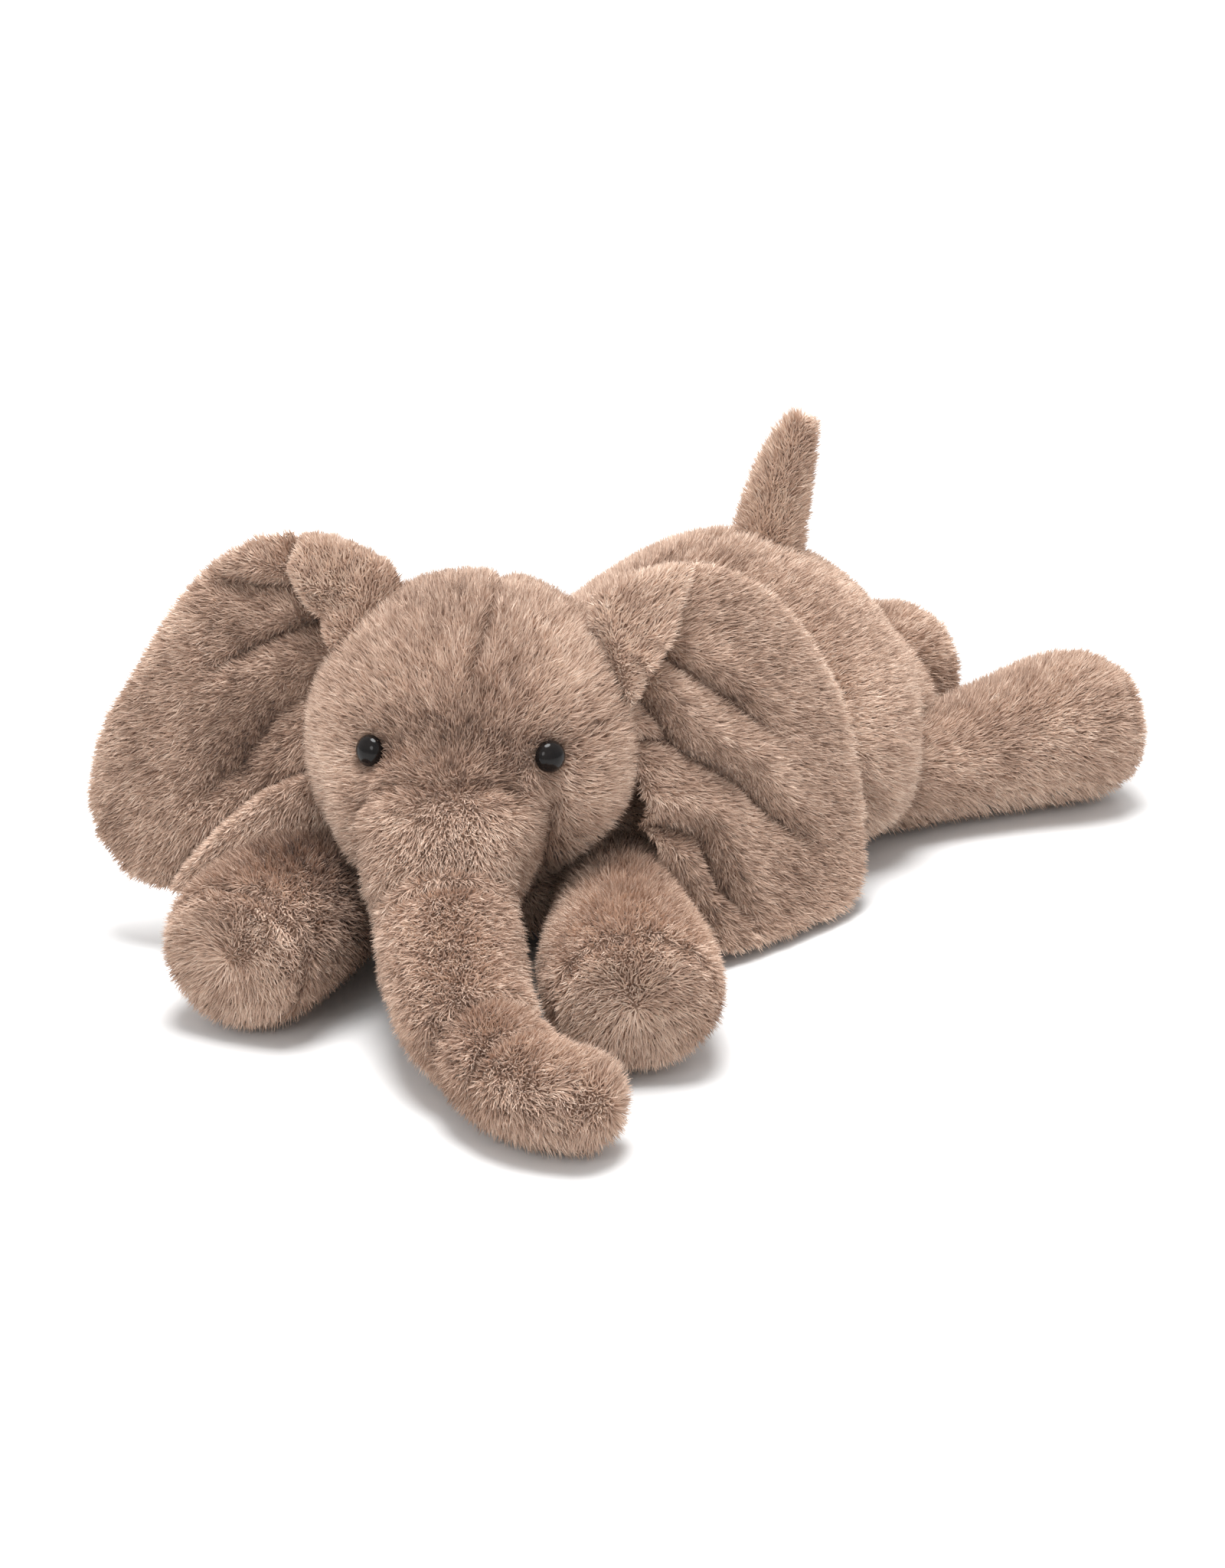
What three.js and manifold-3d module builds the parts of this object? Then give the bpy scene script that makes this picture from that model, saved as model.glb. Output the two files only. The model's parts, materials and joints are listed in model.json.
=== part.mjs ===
// A soft stuffed elephant lying on its belly with its head turned to its left.
// Sewn covers, each with its stuffing, bean bags and eyes, nested as the toy moves.
// Millimetres, +Z up. The rump is towards +Y and the toy's left is towards +X.

import * as THREE from 'three';
import { ParametricGeometry } from 'three/addons/geometries/ParametricGeometry.js';
import { mergeVertices } from 'three/addons/utils/BufferGeometryUtils.js';
import Module from 'manifold-3d';

const wasm = await Module();
wasm.setup();

// ---------------------------------------------------------------- driving dimensions

const PLUSH = 4.5; // pile and cloth together
const GAP = 0.4; // along seams, and between a cover and its stuffing
const ROOM = 0.9; // all round a root that moves
const LIMB_ROOM = 2.8; // round a limb at mid travel, for the corners of its sweep

const HEAD_RADIUS = 45;
const HEAD_CENTRE = point(0, 0, 62);
const HEAD_YAW = 33; // the face looks this many degrees to the toy's left
const HEAD_BACK = 0.94; // depth of the back of the head, of its radius
const HEAD_UNDER = 0.98; // depth of its underside
const HEAD_NARROWING = 0.2; // how much its lower half narrows
const CHIN_DROP = 27; // the chin gusset starts this far below the centre

const EYE_RADIUS = 4.2;
const EYE_FORWARD = 0.8; // direction from the head's centre to the left eye
const EYE_SIDE = 0.56;
const EYE_UP = 0.2;
const EYE_SEAT = 41.2; // from the head's centre to the back of the eye
const EYE_PIT_ROOM = 1.4;
const SHANK_RADIUS = 1.4;
const SHANK_LENGTH = 9.5;
const WASHER_RADIUS = 5;
const WASHER_THICKNESS = 1.2;

const EAR_THICKNESS = 9;
const EAR_CUP = 5; // how far the middle of an ear bulges
const EAR_FLARE = 5; // how far its lower edge turns out where it meets the floor
const EAR_FLARE_START = 36; // below eye level
const EAR_FLARE_SPAN = 28;
const EAR_MIDDLE = -4; // the height of the fullest place, from eye level
const EAR_CUP_REACH = 30; // beyond the root, where the bulge ends
const EAR_CUP_HEIGHT = 80;

const BEAN_BAG_LENGTH = 20; // in a foot
const BELLY_BAG_RADIUS = 30;
const BELLY_BAG_STRETCH = 1.2; // along the body
const BELLY_BAG_FLATNESS = 0.5;
const BELLY_BAG_PLACE = [-1, 92, 6];
const SIDE_SEAM = 15; // height of the seam between the sides and the belly
const FLOOR = 1.2; // what lies on the floor is pressed flat at this height

// Travel of each joint in degrees, [least, most], counted from the lying pose.
const NOD = [0, 18];
const TRUNK_LIFT = [0, 28];
const TRUNK_CURL = [0, 35];
const EAR_SWING = [0, 25];
const FRONT_LEG_SWING = [0, 10];
const HIND_LEG_SWING = [0, 18];
const TAIL_BEND = [-25, 25];

// Every station is [x, y, z, half width, half height up, half height down].
const BODY = [
  [2, 4, 22, 26, 16, 19],
  [-4, 26, 28, 38, 40, 27],
  [-4, 52, 30, 44, 52, 30],
  [-3, 86, 30, 51, 59.5, 30],
  [0, 116, 30, 61, 59, 30],
  [5, 140, 29, 56, 46, 28],
  [11, 155, 26, 41, 28, 24],
];

const TRUNK_ROOT = [
  [10.9, -25.7, 53, 29, 28, 28],
  [17.5, -33.7, 45, 26, 25, 25],
  [24, -42, 36.5, 21.5, 20.5, 20.5],
];
const TRUNK_UPPER = [
  [24, -42, 36.5, 19.5, 19.5, 19.5],
  [36, -53.5, 28, 19.5, 19, 19],
  [50, -65.5, 21, 18.5, 18, 18],
  [63, -73, 17.5, 17, 16.5, 16.5],
];
const TRUNK_TIP = [
  [63, -73, 17.5, 15.5, 15.5, 15.5],
  [76, -79.5, 16, 16.4, 15.6, 15.6],
  [88, -82, 15.4, 15.6, 15, 15],
  [98, -79.5, 15, 14.4, 14.2, 14.2],
];

const FRONT_LEG_LEFT = [
  [26, 26, 18.5, 16, 16, 16],
  [40, 10, 19.5, 18, 17, 18],
  [54, -6, 20.5, 20, 19, 19.5],
  [69, -23, 22, 22, 21.5, 21.5],
  [82.5, -37.5, 22, 21.5, 21, 21.5],
];
const FRONT_LEG_RIGHT = [
  [-29, 14, 18.5, 16, 16, 16],
  [-28, -9, 19.5, 18, 17, 18],
  [-25, -32, 21, 21, 19.5, 20],
  [-19, -58, 23, 23.5, 23, 22.5],
  [-14, -79.5, 23, 23, 22, 22.5],
];
const HIND_LEG_LEFT = [
  [37, 132, 19, 18, 18, 18],
  [46, 151, 19, 18.5, 17.5, 18],
  [55, 169, 21, 21, 20, 20.5],
  [64, 185, 23.5, 23.5, 22, 23],
  [71, 197, 23, 21.5, 20, 22],
];
const HIND_LEG_RIGHT = [
  [-24, 134, 19, 18, 18, 18],
  [-16, 153, 19.5, 18.5, 17.5, 18.5],
  [-9, 170, 21, 21, 20.5, 20.5],
  [-2, 187, 23.5, 23.5, 22, 23],
  [4, 200, 23, 21.5, 20, 22],
];
const TAIL_MOUTH = 20; // how far up the cone of room round the tail reaches
const TAIL_MOUTH_SPREAD = 9;
const TAIL = [
  [2, 126, 81, 11, 11, 11],
  [2.5, 130, 94, 10, 10, 10],
  [4, 133, 105, 8.5, 8.5, 8.5],
  [6, 135, 113.5, 6.5, 6.5, 6.5],
];

// An ear's outline in its own plane: [out from the root, up from eye level].
const EAR_LEFT = [
  [-8, 42], [7, 46], [24, 44], [40, 38.5], [55, 27.5], [66, 12], [73, -5],
  [76, -22], [75, -40], [71, -55], [62, -63], [44, -65], [22, -64.5], [8, -61],
  [1, -46], [-4, -24], [-7, 0], [-10, 24],
];
const EAR_RIGHT = [
  [-19, 43], [-8, 51.5], [7, 54.5], [21, 52], [34, 43.5], [45, 30], [55, 12],
  [63, -2], [67, -18], [66, -30], [60, -40], [50, -46.5], [36, -47], [20, -42],
  [3, -35], [-9, -20], [-13, 2], [-14, 26],
];

const NECK = point(-14, 22, 60);
const NECK_RADIUS = 17;

// ---------------------------------------------------------------- small helpers

function point(x, y, z) {
  return new THREE.Vector3(x, y, z);
}

const UP = point(0, 0, 1);
const yaw = THREE.MathUtils.degToRad(HEAD_YAW);
const FORWARD = point(Math.sin(yaw), -Math.cos(yaw), 0);
const LEFTWARD = point(Math.cos(yaw), Math.sin(yaw), 0);

function onHead(forward, left, up) {
  return HEAD_CENTRE.clone()
    .addScaledVector(FORWARD, forward)
    .addScaledVector(LEFTWARD, left)
    .addScaledVector(UP, up);
}

function signedPower(value, power) {
  return Math.sign(value) * Math.abs(value) ** power;
}

function solidFrom(geometry) {
  geometry.deleteAttribute('normal');
  geometry.deleteAttribute('uv');
  const merged = mergeVertices(geometry, 1e-3);
  const places = merged.attributes.position;
  const index = merged.index.array;
  const corners = [];
  let volume = 0;
  const [a, b, c] = [point(), point(), point()];
  for (let i = 0; i < index.length; i += 3) {
    const [p, q, r] = [index[i], index[i + 1], index[i + 2]];
    if (p === q || q === r || r === p) continue;
    corners.push(p, q, r);
    a.fromBufferAttribute(places, p);
    b.fromBufferAttribute(places, q);
    c.fromBufferAttribute(places, r);
    volume += a.dot(b.cross(c));
  }
  if (volume < 0) corners.reverse();
  return new wasm.Manifold(new wasm.Mesh({
    numProp: 3,
    vertProperties: new Float32Array(places.array),
    triVerts: new Uint32Array(corners),
  }));
}

// Everything on the far side of a plane.
function beyond(place, direction) {
  const reach = 600;
  const box = new THREE.BoxGeometry(reach, reach, reach).translate(0, 0, reach / 2);
  const turn = new THREE.Quaternion().setFromUnitVectors(UP, direction.clone().normalize());
  box.applyQuaternion(turn).translate(place.x, place.y, place.z);
  return solidFrom(box);
}

function turned(solid, pivot, axis, degrees) {
  const turn = new THREE.Matrix4().makeRotationAxis(axis, THREE.MathUtils.degToRad(degrees));
  const matrix = new THREE.Matrix4().makeTranslation(pivot.x, pivot.y, pivot.z)
    .multiply(turn)
    .multiply(new THREE.Matrix4().makeTranslation(-pivot.x, -pivot.y, -pivot.z));
  return solid.transform(matrix.elements);
}

// The room that a solid needs as it turns through its travel.
function swept(solid, pivot, axis, [least, most]) {
  const step = 15;
  const count = Math.max(1, Math.ceil((most - least) / step));
  let room = turned(solid, pivot, axis, least);
  for (let i = 1; i <= count; i += 1) {
    room = room.add(turned(solid, pivot, axis, least + ((most - least) * i) / count));
  }
  return room;
}

// The same for a limb that turns about the centre of its own round root:
// one form at mid travel, widened by as much as each station moves.
function limbRoom(stations, shape, axis, [least, most]) {
  const root = point(...stations[0]);
  const middle = THREE.MathUtils.degToRad((least + most) / 2);
  const half = THREE.MathUtils.degToRad((most - least) / 2);
  const level = Math.abs(axis.z) < 0.5;
  const widened = stations.map((station) => {
    const arm = point(...station).sub(root);
    const extra = arm.length() * Math.sin(half);
    const place = arm.applyAxisAngle(axis, middle).add(root);
    const [wide, up, down] = station.slice(3);
    const grown = level ? [wide, up + extra, down + extra] : [wide + extra, up, down];
    return [...place.toArray(), ...grown];
  });
  return stuffedForm(widened, { ...shape, grow: LIMB_ROOM, along: 4 });
}

function largestPart(solid) {
  const parts = solid.decompose();
  return parts.reduce((best, part) => (part.volume() > best.volume() ? part : best));
}

// ---------------------------------------------------------------- soft forms

// Oval rings along a smooth spine, closed by a rounded end at each end.
// Flat above 2 squares the lower half; peak below 2 slopes the shoulders of the upper half.
function stuffedForm(stations, options = {}) {
  const { grow = 0, ends = [1, 1], around = 12, along = 6, flat = 2, peak = 2 } = options;
  const capRings = 2;
  const rings = along + 2 * capRings;
  const spine = new THREE.CatmullRomCurve3(stations.map(([x, y, z]) => point(x, y, z)));
  const sizes = new THREE.CatmullRomCurve3(stations.map((s) => point(s[3], s[4], s[5])));
  const side = point();
  const lift = point();
  const surface = (u, v, target) => {
    const ring = v * rings;
    const t = THREE.MathUtils.clamp((ring - capRings) / along, 0, 1);
    const intoCap = Math.min(1, Math.min(ring, rings - ring) / capRings);
    const fade = Math.sin((intoCap * Math.PI) / 2);
    const push = Math.cos((intoCap * Math.PI) / 2);
    const tangent = spine.getTangent(t);
    const size = sizes.getPoint(t).addScalar(grow);
    const mean = (size.x + (size.y + size.z) / 2) / 2;
    const shift = ring < rings / 2 ? -push * mean * ends[0] : push * mean * ends[1];
    side.crossVectors(tangent, Math.abs(tangent.z) > 0.8 ? FORWARD : UP).normalize();
    lift.crossVectors(side, tangent).normalize();
    const angle = u * 2 * Math.PI;
    const rise = Math.sin(angle) > 0 ? size.y : size.z;
    const power = 2 / (Math.sin(angle) > 0 ? peak : flat);
    target.copy(spine.getPoint(t))
      .addScaledVector(tangent, shift)
      .addScaledVector(side, fade * size.x * signedPower(Math.cos(angle), power))
      .addScaledVector(lift, fade * rise * signedPower(Math.sin(angle), power));
  };
  return solidFrom(new ParametricGeometry(surface, around, rings));
}

// The head is a ball whose lower half narrows towards the chin and the trunk.
function headBall(grow = 0) {
  const geometry = new THREE.SphereGeometry(1, 18, 11).rotateX(Math.PI / 2);
  const places = geometry.attributes.position;
  const p = point();
  for (let i = 0; i < places.count; i += 1) {
    p.fromBufferAttribute(places, i);
    const low = Math.max(0, -p.z);
    const size = HEAD_RADIUS + grow;
    const forward = p.x * size * (p.x > 0 ? 1 : HEAD_BACK);
    const left = p.y * size * (1 - HEAD_NARROWING * low * low);
    const up = p.z * size * (p.z > 0 ? 1 : HEAD_UNDER);
    const place = onHead(forward, left, up);
    places.setXYZ(i, place.x, place.y, place.z);
  }
  return solidFrom(geometry);
}

function ball(centre, radius, around = 12, down = 8) {
  const geometry = new THREE.SphereGeometry(radius, around, down);
  return solidFrom(geometry.translate(centre.x, centre.y, centre.z));
}

// A rod or disc along a direction, starting at a place.
function rod(place, direction, radius, length, around = 12) {
  const geometry = new THREE.CylinderGeometry(radius, radius, length, around)
    .translate(0, length / 2, 0)
    .applyQuaternion(new THREE.Quaternion().setFromUnitVectors(point(0, 1, 0), direction));
  return solidFrom(geometry.translate(place.x, place.y, place.z));
}

// One cloth layer of an ear, or both at once: the outline filled between two depths.
function earLayer(outline, plane, from, to) {
  const points = outline.map(([out, up]) => point(out, up, 0));
  const edge = new THREE.CatmullRomCurve3(points, true);
  const middle = point(outline.reduce((sum, p) => sum + p[0], 0) / outline.length, EAR_MIDDLE, 0);
  const reach = middle.x + EAR_CUP_REACH;
  const surface = (u, v, target) => {
    const share = v < 0.5 ? 2 * v : 2 - 2 * v;
    const ring = Math.sin((share * Math.PI) / 2);
    const rim = edge.getPoint(u % 1);
    const place = middle.clone().lerp(rim, ring);
    const round = Math.sqrt(Math.max(0, 1 - ring ** 6));
    const depth = v < 0.5 ? to : from;
    const outer = depth === (from + to > 0 ? to : from);
    const aside = (place.x - middle.x) / reach;
    const cup = EAR_CUP * (1 - aside ** 2 - (place.y / EAR_CUP_HEIGHT) ** 2);
    const flare = EAR_FLARE * (Math.max(0, -place.y - EAR_FLARE_START) / EAR_FLARE_SPAN) ** 2;
    target.copy(plane.root)
      .addScaledVector(plane.out, place.x)
      .addScaledVector(plane.up, place.y)
      .addScaledVector(plane.face, cup + flare + depth * (outer ? round : 1));
  };
  return solidFrom(new ParametricGeometry(surface, 20, 6));
}

function earPlane(root, out, lean) {
  const direction = out.clone().normalize();
  const face = direction.clone().cross(UP).normalize();
  if (face.dot(FORWARD) < 0) face.negate();
  const up = UP.clone().addScaledVector(face, -lean).normalize();
  face.crossVectors(direction, up).normalize();
  if (face.dot(FORWARD) < 0) face.negate();
  return { root, out: direction, up, face };
}

// A cover is the form less the room for its stuffing.
function coverOf(form, stations, options) {
  return form.subtract(stuffedForm(stations, { ...options, grow: -PLUSH }));
}

function stuffingOf(stations, options) {
  return stuffedForm(stations, { ...options, grow: -PLUSH - GAP });
}

// ---------------------------------------------------------------- colours

function finish(color, roughness, metalness = 0) {
  return () => new THREE.MeshStandardMaterial({ color, roughness, metalness });
}

const plush = finish(0xa58a78, 0.95);
const plushPale = finish(0xbba18e, 0.95);
const stuffing = finish(0xf1efe9, 1);
const beanCloth = finish(0xd9d2c4, 0.9);
const eyeGloss = finish(0x0b0a0a, 0.12);
const washerPlastic = finish(0xe8e6e0, 0.5);

// ---------------------------------------------------------------- the toy's groups

const toy = new THREE.Group();

function movingGroup(parent, pivot) {
  const group = new THREE.Group();
  group.userData.pivot = pivot;
  group.position.copy(pivot);
  if (parent.userData.pivot) group.position.sub(parent.userData.pivot);
  parent.add(group);
  return group;
}

function addPiece(group, name, solid, material) {
  const underFloor = beyond(point(0, 0, FLOOR), UP.clone().negate());
  const rested = solid.boundingBox().min[2] < FLOOR ? solid.subtract(underFloor) : solid;
  const { vertProperties, triVerts } = largestPart(rested).getMesh();
  const geometry = new THREE.BufferGeometry();
  geometry.setAttribute('position', new THREE.BufferAttribute(vertProperties, 3));
  geometry.setIndex(new THREE.BufferAttribute(triVerts, 1));
  const { x, y, z } = group.userData.pivot;
  geometry.translate(-x, -y, -z);
  geometry.computeVertexNormals();
  const mesh = new THREE.Mesh(geometry, material());
  mesh.name = name;
  group.add(mesh);
}

const bodyGroup = movingGroup(toy, point(0, 86, 30));
const headGroup = movingGroup(bodyGroup, NECK);

// ---------------------------------------------------------------- whole forms

const bodyShape = { flat: 3.4, peak: 1.55, around: 18, along: 7, ends: [0.75, 0.6] };
const body = stuffedForm(BODY, bodyShape);
const bodyInside = stuffedForm(BODY, { ...bodyShape, grow: -PLUSH });
const bodyStuffing = stuffedForm(BODY, { ...bodyShape, grow: -PLUSH - GAP });

const rootShape = { ends: [0.3, 0.25], around: 12, along: 3 };
const upperShape = { ends: [1, 0.3], around: 12, along: 4 };
const tipShape = { ends: [1, 0.85], around: 12, along: 4 };

const earLeft = earPlane(point(36, 22, 62), point(0.135, 0.99, 0), 0.28);
const earRight = earPlane(onHead(0, -38, 0), point(-0.921, -0.391, 0), 0.25);

const trunkLiftPivot = point(...TRUNK_UPPER[0].slice(0, 3));
const trunkCurlPivot = point(...TRUNK_TIP[0].slice(0, 3));

// A level axis that lifts a trunk section heading this way.
function liftAxis(from, to) {
  return UP.clone().cross(to.clone().sub(from).setZ(0)).normalize().negate();
}

const trunkLiftAxis = liftAxis(trunkLiftPivot, point(...TRUNK_UPPER[1].slice(0, 3)));
const trunkCurlAxis = liftAxis(trunkCurlPivot, point(...TRUNK_TIP[1].slice(0, 3)));
const nodAxis = liftAxis(point(0, 0, 0), FORWARD);

const legs = [
  { name: 'front_leg_left', stations: FRONT_LEG_LEFT, outward: 1, travel: FRONT_LEG_SWING },
  { name: 'front_leg_right', stations: FRONT_LEG_RIGHT, outward: -1, travel: FRONT_LEG_SWING },
  { name: 'hind_leg_left', stations: HIND_LEG_LEFT, outward: -1, travel: HIND_LEG_SWING },
  { name: 'hind_leg_right', stations: HIND_LEG_RIGHT, outward: 1, travel: HIND_LEG_SWING },
];
const legShape = { ends: [1, 0.32], around: 12, along: 5 };
for (const leg of legs) {
  leg.pivot = point(...leg.stations[0].slice(0, 3));
  leg.axis = UP.clone().multiplyScalar(leg.outward);
  leg.room = limbRoom(leg.stations, legShape, leg.axis, leg.travel);
}

const tailPivot = point(...TAIL[0].slice(0, 3));
const tailAxis = point(1, 0, 0);
const tailShape = { ends: [1, 0.9], around: 10, along: 3 };
const tailRoot = TAIL[0][3] + ROOM;
const tailRoom = ball(tailPivot, tailRoot).add(solidFrom(
  new THREE.CylinderGeometry(tailRoot + TAIL_MOUTH_SPREAD, tailRoot, TAIL_MOUTH, 12)
    .rotateX(Math.PI / 2)
    .translate(tailPivot.x, tailPivot.y, tailPivot.z + TAIL_MOUTH / 2),
));

// ---------------------------------------------------------------- head, trunk and ears

const trunkRoom = limbRoom(TRUNK_UPPER, upperShape, trunkLiftAxis, TRUNK_LIFT);
const neckRoom = ball(NECK, NECK_RADIUS + ROOM);
const frontLegRoom = legs[0].room.add(legs[1].room);

const headSolid = headBall().add(stuffedForm(TRUNK_ROOT, rootShape));
const headInside = headBall(-PLUSH).add(stuffedForm(TRUNK_ROOT, { ...rootShape, grow: -PLUSH }));
const headCore = headBall(-PLUSH - GAP)
  .add(stuffedForm(TRUNK_ROOT, { ...rootShape, grow: -PLUSH - GAP }));

const headEnvelope = ball(HEAD_CENTRE, HEAD_RADIUS + 2.2 * ROOM, 16, 10);
const headRoom = headEnvelope.add(turned(headEnvelope, NECK, nodAxis, NOD[1]));

function makeEye(side) {
  const name = side > 0 ? 'left' : 'right';
  const inward = point(0, 0, 0)
    .addScaledVector(FORWARD, -EYE_FORWARD)
    .addScaledVector(LEFTWARD, -side * EYE_SIDE)
    .addScaledVector(UP, -EYE_UP)
    .normalize();
  const at = (depth) => HEAD_CENTRE.clone().addScaledVector(inward, -depth);
  const outward = inward.clone().negate();
  const washerSeat = HEAD_RADIUS - PLUSH - 4 * GAP;
  const bead = ball(at(EYE_SEAT), EYE_RADIUS, 12, 8).intersect(beyond(at(EYE_SEAT), outward));
  const post = rod(at(EYE_SEAT + 1), inward, SHANK_RADIUS, SHANK_LENGTH, 8);
  const hole = rod(at(HEAD_RADIUS + 3), inward, SHANK_RADIUS + GAP, 2 * SHANK_LENGTH + 1, 8);
  const disc = rod(at(washerSeat), inward, WASHER_RADIUS, WASHER_THICKNESS);
  addPiece(headGroup, `eye_${name}`, bead.add(post), eyeGloss);
  addPiece(headGroup, `eye_washer_${name}`, disc.subtract(hole), washerPlastic);
  return {
    pit: ball(at(EYE_SEAT + EYE_PIT_ROOM), EYE_RADIUS + EYE_PIT_ROOM, 12, 8)
      .intersect(beyond(at(EYE_SEAT - GAP), outward))
      .add(hole),
    pocket: rod(at(washerSeat + 1), inward, WASHER_RADIUS + GAP, WASHER_THICKNESS + 1 + GAP)
      .add(rod(at(washerSeat + 1), inward, SHANK_RADIUS + GAP, SHANK_LENGTH + 1)),
  };
}

const eyes = [makeEye(1), makeEye(-1)];

function earOf(name, outline, plane, turnUp) {
  const pivotPoint = plane.root.clone().addScaledVector(plane.out, -2);
  const axis = plane.up.clone().multiplyScalar(turnUp);
  const back = [-EAR_SWING[1], -EAR_SWING[0]];
  const relief = swept(headBall(ROOM), pivotPoint, axis, back)
    .add(swept(frontLegRoom, pivotPoint, axis, back))
    .add(turned(turned(frontLegRoom, NECK, nodAxis, -NOD[1]), pivotPoint, axis, back[0]));
  const group = movingGroup(headGroup, pivotPoint);
  const half = EAR_THICKNESS / 2;
  const front = earLayer(outline, plane, GAP, half);
  const rear = earLayer(outline, plane, -half, -GAP);
  addPiece(group, `ear_front_${name}`, front.subtract(relief), plushPale);
  addPiece(group, `ear_back_${name}`, rear.subtract(relief), plush);
}

earOf('left', EAR_LEFT, earLeft, -1);
earOf('right', EAR_RIGHT, earRight, -1);

const headCuts = neckRoom.add(trunkRoom).add(frontLegRoom);
const headCover = headSolid.subtract(headInside)
  .subtract(headCuts)
  .subtract(eyes[0].pit)
  .subtract(eyes[1].pit);
const chinTop = HEAD_CENTRE.z - CHIN_DROP;
const chin = beyond(point(0, 0, chinTop - GAP / 2), UP.clone().negate());
const aboveChin = beyond(point(0, 0, chinTop + GAP / 2), UP);
const halfGap = LEFTWARD.clone().multiplyScalar(GAP / 2);
const headLeft = beyond(HEAD_CENTRE.clone().add(halfGap), LEFTWARD);
const headRight = beyond(HEAD_CENTRE.clone().sub(halfGap), LEFTWARD.clone().negate());
addPiece(headGroup, 'head_cover_left', headCover.intersect(aboveChin).intersect(headLeft), plush);
addPiece(headGroup, 'head_cover_right', headCover.intersect(aboveChin).intersect(headRight), plush);
addPiece(headGroup, 'chin_gusset', headCover.intersect(chin), plushPale);
addPiece(
  headGroup,
  'head_stuffing',
  headCore.subtract(headCuts).subtract(eyes[0].pocket).subtract(eyes[1].pocket),
  stuffing,
);
addPiece(bodyGroup, 'neck_stuffing', ball(NECK, NECK_RADIUS, 12, 8), stuffing);

const trunkUpperGroup = movingGroup(headGroup, trunkLiftPivot);
const trunkTipGroup = movingGroup(trunkUpperGroup, trunkCurlPivot);
const tipRoom = limbRoom(TRUNK_TIP, tipShape, trunkCurlAxis, TRUNK_CURL);

function openAtRoot(stations) {
  const [from, to] = [stations[0], stations[1]].map((s) => point(...s.slice(0, 3)));
  return beyond(from.clone().lerp(to, 0.05), from.clone().sub(to));
}

function addTrunkSection(group, name, stations, shape, cuts) {
  const form = stuffedForm(stations, shape);
  const cover = coverOf(form, stations, shape).subtract(openAtRoot(stations));
  const core = stuffingOf(stations, shape);
  addPiece(group, `trunk_cover_${name}`, cuts ? cover.subtract(cuts) : cover, plush);
  addPiece(group, `trunk_stuffing_${name}`, cuts ? core.subtract(cuts) : core, stuffing);
}

addTrunkSection(trunkUpperGroup, 'upper', TRUNK_UPPER, upperShape, tipRoom);
addTrunkSection(trunkTipGroup, 'tip', TRUNK_TIP, tipShape, null);

// ---------------------------------------------------------------- legs and tail

for (const { name, stations, pivot } of legs) {
  const group = movingGroup(bodyGroup, pivot);
  const last = point(...stations.at(-1).slice(0, 3));
  const before = point(...stations.at(-2).slice(0, 3));
  const along = last.clone().sub(before).normalize();
  const rim = last.clone().addScaledVector(along, 1);
  const form = stuffedForm(stations, legShape);
  const shell = coverOf(form, stations, legShape);
  const core = stuffingOf(stations, legShape);
  const bagStart = last.clone().addScaledVector(along, -BEAN_BAG_LENGTH);
  const seam = along.clone().multiplyScalar(GAP);
  addPiece(group, `${name}_cover`, shell
    .subtract(openAtRoot(stations))
    .subtract(beyond(rim, along)), plush);
  addPiece(group, `${name}_sole`, shell.intersect(beyond(rim.clone().add(seam), along)), plushPale);
  addPiece(group, `${name}_stuffing`, core.subtract(beyond(bagStart, along)), stuffing);
  addPiece(group, `${name}_bean_bag`, core.intersect(beyond(bagStart.add(seam), along)), beanCloth);
}

const tailGroup = movingGroup(bodyGroup, tailPivot);
addPiece(tailGroup, 'tail_cover', coverOf(stuffedForm(TAIL, tailShape), TAIL, tailShape)
  .subtract(openAtRoot(TAIL)), plush);
addPiece(tailGroup, 'tail_stuffing', stuffingOf(TAIL, tailShape), stuffing);

// ---------------------------------------------------------------- body

const bodyCuts = [neckRoom, headRoom, tailRoom, ...legs.map((leg) => leg.room)]
  .reduce((room, part) => room.add(part));
const bodyCover = body.subtract(bodyInside).subtract(bodyCuts);
const belly = beyond(point(0, 0, SIDE_SEAM - GAP / 2), UP.clone().negate());
const aboveBelly = beyond(point(0, 0, SIDE_SEAM + GAP / 2), UP);
const towardsLeft = point(1, 0, 0);
const bodyLeft = beyond(point(GAP / 2, 0, 0), towardsLeft);
const bodyRight = beyond(point(-GAP / 2, 0, 0), towardsLeft.clone().negate());

function bellyBag(grow) {
  const radius = BELLY_BAG_RADIUS + grow;
  const height = BELLY_BAG_RADIUS * BELLY_BAG_FLATNESS + grow;
  return solidFrom(new THREE.SphereGeometry(1, 12, 8)
    .scale(radius, radius * BELLY_BAG_STRETCH, height)
    .translate(...BELLY_BAG_PLACE));
}

const bodyCore = bodyStuffing.subtract(bodyCuts).subtract(bellyBag(GAP));
addPiece(bodyGroup, 'body_cover_left', bodyCover.intersect(aboveBelly).intersect(bodyLeft), plush);
addPiece(bodyGroup, 'body_cover_right', bodyCover.intersect(aboveBelly).intersect(bodyRight), plush);
addPiece(bodyGroup, 'belly_gusset', bodyCover.intersect(belly), plushPale);
addPiece(bodyGroup, 'body_stuffing', bodyCore, stuffing);
addPiece(bodyGroup, 'belly_bean_bag', bellyBag(0).intersect(bodyStuffing), beanCloth);

// The origin is on the floor under the middle of the toy.
const size = new THREE.Box3().setFromObject(toy);
toy.position.set(-(size.min.x + size.max.x) / 2, -(size.min.y + size.max.y) / 2, -size.min.z);

export default toy;
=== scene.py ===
# A soft stuffed elephant lying on its belly: padded cloth skins that carry a short leaning pile.
# Tables are in millimetres from the toy's own origin, which is on the floor under the head's centre.
# Meshes are in metres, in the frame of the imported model.

import json
import math

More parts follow.
